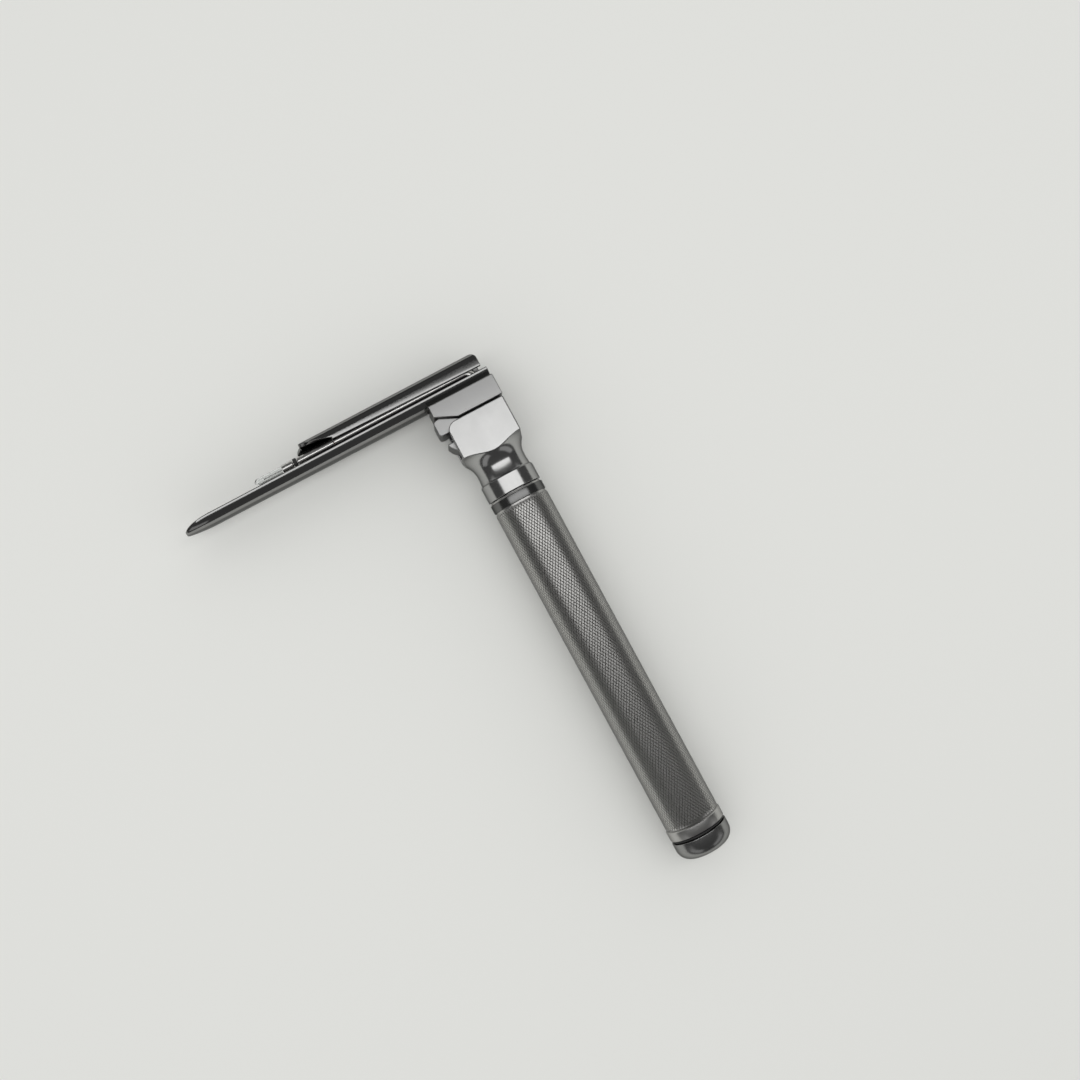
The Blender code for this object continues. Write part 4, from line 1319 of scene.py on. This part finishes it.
@dataclass
class Light:
    """The light tube, the socket and the lamp, in millimetres about the datum."""

    y: float = 11.5
    z: float = 3.0
    turns: int = 48
    radius: float = 1.25
    drop_x: float = 5.0
    bend: float = 2.4
    tube_front: float = -39.8
    tube_low: float = -6.1
    run_rings: int = 24
    bend_steps: int = 20
    drop_rings: int = 8
    socket_radius: float = 1.15
    socket_bore: float = 0.75
    socket_front: float = -51.6
    socket_rear: float = -40.1
    socket_edge: float = 0.12
    socket_steps: int = 3
    bead: float = 0.12
    bead_length: float = 0.9
    bead_slope: float = 0.2
    ring_front: float = -53.0
    ring_rear: float = -51.9
    ring_radius: float = 1.4
    ring_bore: float = 0.78
    ring_gap: float = 0.01
    ring_edge: float = 0.25
    base_rear: float = -53.3
    base_front: float = -56.7
    base_edge: float = 0.2
    base_turns: int = 64
    lamp_radius: float = 1.25
    stem_radius: float = 0.62
    stem_end: float = -49.7
    stem_chamfer: float = 0.1
    thread_pitch: float = 0.5
    thread_depth: float = 0.07
    thread_rows: int = 64
    glass_rear: float = -57.0
    glass_front: float = -65.6
    glass_radius: float = 1.075
    glass_wall: float = 0.3
    glass_lens: float = 0.4
    glass_steps: int = 16
    coil_back: float = 3.0
    coil_radius: float = 0.14
    coil_half: float = 0.4
    coil_wire: float = 0.03
    coil_turns: int = 8
    coil_steps: int = 12
    post_z: float = 0.42
    post_inset: float = 0.1
    post_wire: float = 0.06
    post_rings: int = 6

    def build(self) -> None:
        """Make and fit the light tube, its socket and the lamp."""
        # The tube's pale nickel is partly a painted highlight.
        SHOP.fit(self.tube(), "blade", "nickel_and_painted_highlight", ("light_tube",))
        SHOP.fit(self.socket(), "blade", "nickel_and_painted_highlight", ("lamp_socket",))
        SHOP.fit(self.ring(), "lamp_collar", "rubber", ("lamp_ring",))
        SHOP.fit(self.base(), "lamp", "nickel_and_painted_highlight", ("lamp_base",))
        SHOP.fit(self.glass(), "lamp", "glass", ("lamp_glass",))
        for piece in self.filament():
            SHOP.fit(piece, "lamp", "tungsten")

    def tube(self) -> bpy.types.Object:
        """A round section carried along the blade, round the bend at the heel and down into the tongue.

        Returns:
            The tube.
        """
        centre = (self.drop_x - self.bend, self.y - self.bend)
        run_x = np.linspace(self.tube_front, centre[0], self.run_rings)
        run = np.column_stack([run_x, np.full(self.run_rings, self.y)])
        bend = np.array(arc(centre, self.bend, 90, 0, self.bend_steps))
        drop_y = np.linspace(centre[1], self.tube_low, self.drop_rings)
        drop = np.column_stack([np.full(self.drop_rings, self.drop_x), drop_y])
        line = np.concatenate([run, bend[1:], drop[1:]])
        path = np.column_stack([line, np.full(len(line), self.z)])
        return sweep("light_tube_bent", path, (0.0, 0.0, 1.0), self.radius)

    def centre(self) -> Triple:
        """A point on the lamp's line."""
        return (0.0, self.y, self.z)

    def socket(self) -> bpy.types.Object:
        """The socket: a turned sleeve with a fine bead at its mouth.

        Returns:
            The socket.
        """
        bead = self.socket_radius + self.bead
        bead_end = self.socket_front + self.bead_length
        line = [(self.socket_bore, self.socket_front), (bead, self.socket_front), (bead, bead_end)]
        line += [(self.socket_radius, bead_end + self.bead_slope), (self.socket_radius, self.socket_rear)]
        line += [(self.socket_bore, self.socket_rear)]
        profile = eased(line, self.socket_edge, self.socket_steps)
        return lathe("lamp_socket_turned", profile, self.turns, Axis.LAMP, self.centre())

    def ring(self) -> bpy.types.Object:
        """The black ring between the socket and the lamp.

        Returns:
            The ring.
        """
        line = [(self.ring_bore, self.ring_rear), (self.ring_bore, self.ring_front)]
        line += [(self.ring_radius, self.ring_front), (self.ring_radius, self.ring_rear)]
        line += [(self.ring_bore + self.ring_gap, self.ring_rear)]
        return lathe("lamp_ring_round", eased(line, self.ring_edge), self.turns, Axis.LAMP, self.centre())

    def base(self) -> bpy.types.Object:
        """The lamp's base: a cup with a rolled edge, and a stem whose thread climbs one pitch a turn.

        Returns:
            The base.
        """
        cup = [(0.0, self.base_front), (self.lamp_radius, self.base_front)]
        cup += [(self.lamp_radius, self.base_rear), (self.stem_radius, self.base_rear)]
        tail = [(self.stem_radius - self.stem_chamfer, self.stem_end), (0.0, self.stem_end)]
        angle = round_turn(self.base_turns)
        start = self.base_rear + self.stem_chamfer
        level = np.linspace(start, self.stem_end - self.stem_chamfer, self.thread_rows)[:, None]
        radius = self.stem_radius + self.thread_depth * thread_ridge(level, -angle, self.thread_pitch)
        bands = [
            spin_line(eased(cup, self.base_edge), angle, Axis.LAMP),
            spin_points(radius, level, angle, Axis.LAMP),
            spin_line(tail, angle, Axis.LAMP),
        ]
        points = np.concatenate(bands) + np.array(self.centre())
        faces = grid_faces(len(points), self.base_turns, False, True)
        return SHOP.piece("lamp_base_turned", points, faces)

    def glass(self) -> bpy.types.Object:
        """The hollow glass: a round nose and a straight wall, thicker at the nose as a lens is.

        Returns:
            The glass.
        """
        nose = self.glass_front + self.glass_radius
        inner_radius = self.glass_radius - self.glass_wall
        line = arc((0.0, nose), self.glass_radius, -90, 0, self.glass_steps)
        line += [(self.glass_radius, self.glass_rear), (inner_radius, self.glass_rear)]
        line += arc((0.0, nose + self.glass_lens), inner_radius, 0, -90, self.glass_steps)
        return lathe("lamp_glass_clear", line, self.turns, Axis.LAMP, self.centre())

    def filament(self) -> list[bpy.types.Object]:
        """A small coil, wound as a helix, between two support wires inside the glass.

        Returns:
            The coil and its two posts.
        """
        up = (0.0, 0.0, 1.0)
        share = np.linspace(0.0, 1.0, self.coil_turns * self.coil_steps + 1)
        turn = FULL_TURN * self.coil_turns * share
        front = self.glass_front + self.coil_back
        x = front + self.coil_radius * np.cos(turn)
        y = self.y + self.coil_radius * np.sin(turn)
        z = self.z - self.coil_half + 2 * self.coil_half * share
        pieces = [sweep("lamp_filament", np.column_stack([x, y, z]), up, self.coil_wire)]
        post_x = np.linspace(self.glass_rear + self.post_inset, front, self.post_rings)
        for side in Side:
            post_y = np.full(self.post_rings, self.y)
            post_z = np.full(self.post_rings, self.z + self.post_z * side.value)
            path = np.column_stack([post_x, post_y, post_z])
            pieces.append(sweep(f"filament_post_{side.name.lower()}", path, up, self.post_wire))
        return pieces


@dataclass(frozen=True)
class Coil:
    """One wound spring; the taper is the far end's share of its radius, and the wire is a radius."""

    node: str
    body: str
    axis: Axis
    wire: float
    turns: float
    taper: float = 1.0


@dataclass
class Springs:
    """The wound springs, each worked out from the box of its solid."""

    coils: tuple[Coil, ...] = (
        Coil("battery_spring", "cap", Axis.HANDLE, wire=0.4, turns=4.0, taper=0.57),
        Coil("contact_spring", "handle", Axis.HANDLE, wire=0.25, turns=7.0),
        Coil("detent_spring_near", "blade", Axis.ACROSS, wire=0.15, turns=4.0),
        Coil("detent_spring_far", "blade", Axis.ACROSS, wire=0.15, turns=4.0),
    )
    turn_steps: int = 36

    def build(self) -> None:
        """Wind and fit each spring."""
        for coil in self.coils:
            SHOP.fit(self.wound(coil), coil.body, "steel", (coil.node,))

    def wound(self, coil: Coil) -> bpy.types.Object:
        """Carry a round wire along a helix, its radius easing to a share of itself at the far end.

        Args:
            coil: the spring.

        Returns:
            The wound wire.
        """
        low, high = [DATUM.local(corner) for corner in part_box(coil.node)]
        size = high - low
        middle = (low + high) / 2
        along = {Axis.HANDLE: 1, Axis.ACROSS: 2}[coil.axis]
        share = np.linspace(0.0, 1.0, int(coil.turns * self.turn_steps) + 1)
        radius = (size[0] / 2 - coil.wire) * (1.0 + (coil.taper - 1.0) * share)
        height = low[along] + coil.wire + (size[along] - 2 * coil.wire) * share
        path = spin_points(radius, height, FULL_TURN * coil.turns * share, coil.axis)
        up = (0.0, 1.0, 0.0)
        if coil.axis is Axis.ACROSS:
            path = path + np.array([middle[0], middle[1], 0.0])
            up = (0.0, 0.0, 1.0)
        return sweep(f"{coil.node}_wound", path, up, coil.wire)


INNER_FINISHES = {
    "hook_pin": "steel",
    "contact_insulator": "plastic",
    "contact_plunger": "brass",
    "contact_terminal": "brass",
    "battery_upper": "wrap",
    "battery_lower": "wrap",
    "cap_seal": "rubber",
    "contact_plate": "plastic",
    "heel_contact": "brass",
    "detent_ball_near": "steel",
    "detent_ball_far": "steel",
    "lead_wire": "enamel",
}


@dataclass
class Studio:
    """The floor, the soft light and the camera; the view's place in millimetres, the rest in metres."""

    floor_colour: Triple = (0.77, 0.775, 0.745)
    floor_roughness: float = 0.85
    floor_half: float = 3.0
    view_x: float = -30.9
    view_y: float = -47.65
    view_height: float = 360.0
    view_turn: Triple = (3.12, -3.83, -28.53)
    sensor: float = 36.0
    lens: float = 40.74
    nearest: float = 0.01
    world_level: float = 0.72
    mirrored_level: float = 0.09
    panel_spot: Triple = (0.05, 0.083, 0.8)
    panel_size: tuple[float, float] = (1.5, 0.236)
    panel_power: float = 1.9
    side_bearings: tuple[float, ...] = (45.0, 135.0, 225.0, 315.0)
    side_reach: float = 2.0
    side_height: float = 0.9
    side_size: tuple[float, float] = (2.0, 0.9)
    side_power: float = 1.9

    def build(self) -> None:
        """Set the stage."""
        self.floor()
        self.light()
        self.camera()
        bpy.context.scene.view_settings.view_transform = "Standard"

    def floor(self) -> None:
        """Lay a plain pale floor under the part."""
        half = self.floor_half
        corners = [(-half, -half, 0.0), (half, -half, 0.0), (half, half, 0.0), (-half, half, 0.0)]
        mesh = bpy.data.meshes.new("floor")
        mesh.from_pydata(corners, [], [(0, 1, 2, 3)])
        item = bpy.data.objects.new("floor", mesh)
        bpy.context.scene.collection.objects.link(item)
        bench = Bench(bpy.data.materials.new("floor_paint"))
        paint = bench.surface(Base_Color=(*self.floor_colour, 1.0), Roughness=self.floor_roughness)
        item.data.materials.append(paint)

    def light(self) -> None:
        """Light the part: an even world that polish sees dimmed, one panel overhead and four at the sides.

        The world's level falls to the mirrored one on rays that a glossy face sends out.
        """
        world = bpy.data.worlds.new("studio")
        bpy.context.scene.world = world
        bench = Bench(world)
        mirrored = bench.add("ShaderNodeLightPath", {}, {}, "Is Glossy Ray")
        level = self.world_level + mirrored * (self.mirrored_level - self.world_level)
        ground = bench.tree.nodes["Background"]
        bench.feed(ground.inputs["Color"], (1.0, 1.0, 1.0, 1.0))
        bench.feed(ground.inputs["Strength"], level)
        key = self.panel("key_panel", self.panel_size, self.panel_power)
        key.location = self.panel_spot
        for number, bearing in enumerate(np.radians(self.side_bearings)):
            side = self.panel(f"side_panel_{number}", self.side_size, self.side_power)
            x = self.side_reach * math.cos(bearing)
            y = self.side_reach * math.sin(bearing)
            side.location = (x, y, self.side_height)
            side.rotation_euler = (math.pi / 2, 0.0, bearing + math.pi / 2)

    @staticmethod
    def panel(name: str, size: tuple[float, float], power: float) -> bpy.types.Object:
        """A rectangular soft light, facing down until it is turned.

        Args:
            name: its name.
            size: its two sides.
            power: its power in watts.

        Returns:
            The light.
        """
        lamp = bpy.data.lights.new(name, "AREA")
        lamp.shape = "RECTANGLE"
        lamp.size, lamp.size_y = size
        lamp.energy = power
        item = bpy.data.objects.new(name, lamp)
        bpy.context.scene.collection.objects.link(item)
        return item

    def camera(self) -> None:
        """Set the camera above the part, nearly straight down, its frame turned as the photograph's is."""
        lens = bpy.data.cameras.new("camera")
        lens.sensor_width = self.sensor
        lens.lens = self.lens
        lens.clip_start = self.nearest
        item = bpy.data.objects.new("camera", lens)
        item.location = DATUM.shift(np.array([self.view_x, self.view_y, self.view_height]))
        item.rotation_euler = np.radians(self.view_turn)
        bpy.context.scene.collection.objects.link(item)
        bpy.context.scene.camera = item


def dress_inner_pieces() -> None:
    """Give the solids that keep their own shape a finish."""
    for node, finish in INNER_FINISHES.items():
        SHOP.dress(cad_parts[node], finish)
        LOG.info("%s dressed in %s", node, finish)


def main() -> None:
    """Build each sub-assembly in turn and set the stage."""
    logging.basicConfig(level=logging.INFO, format="%(name)s: %(message)s")
    for assembly in (Handle(), Blade(), Light(), Springs()):
        assembly.build()
    dress_inner_pieces()
    Studio().build()


if __name__ == "__main__":
    main()
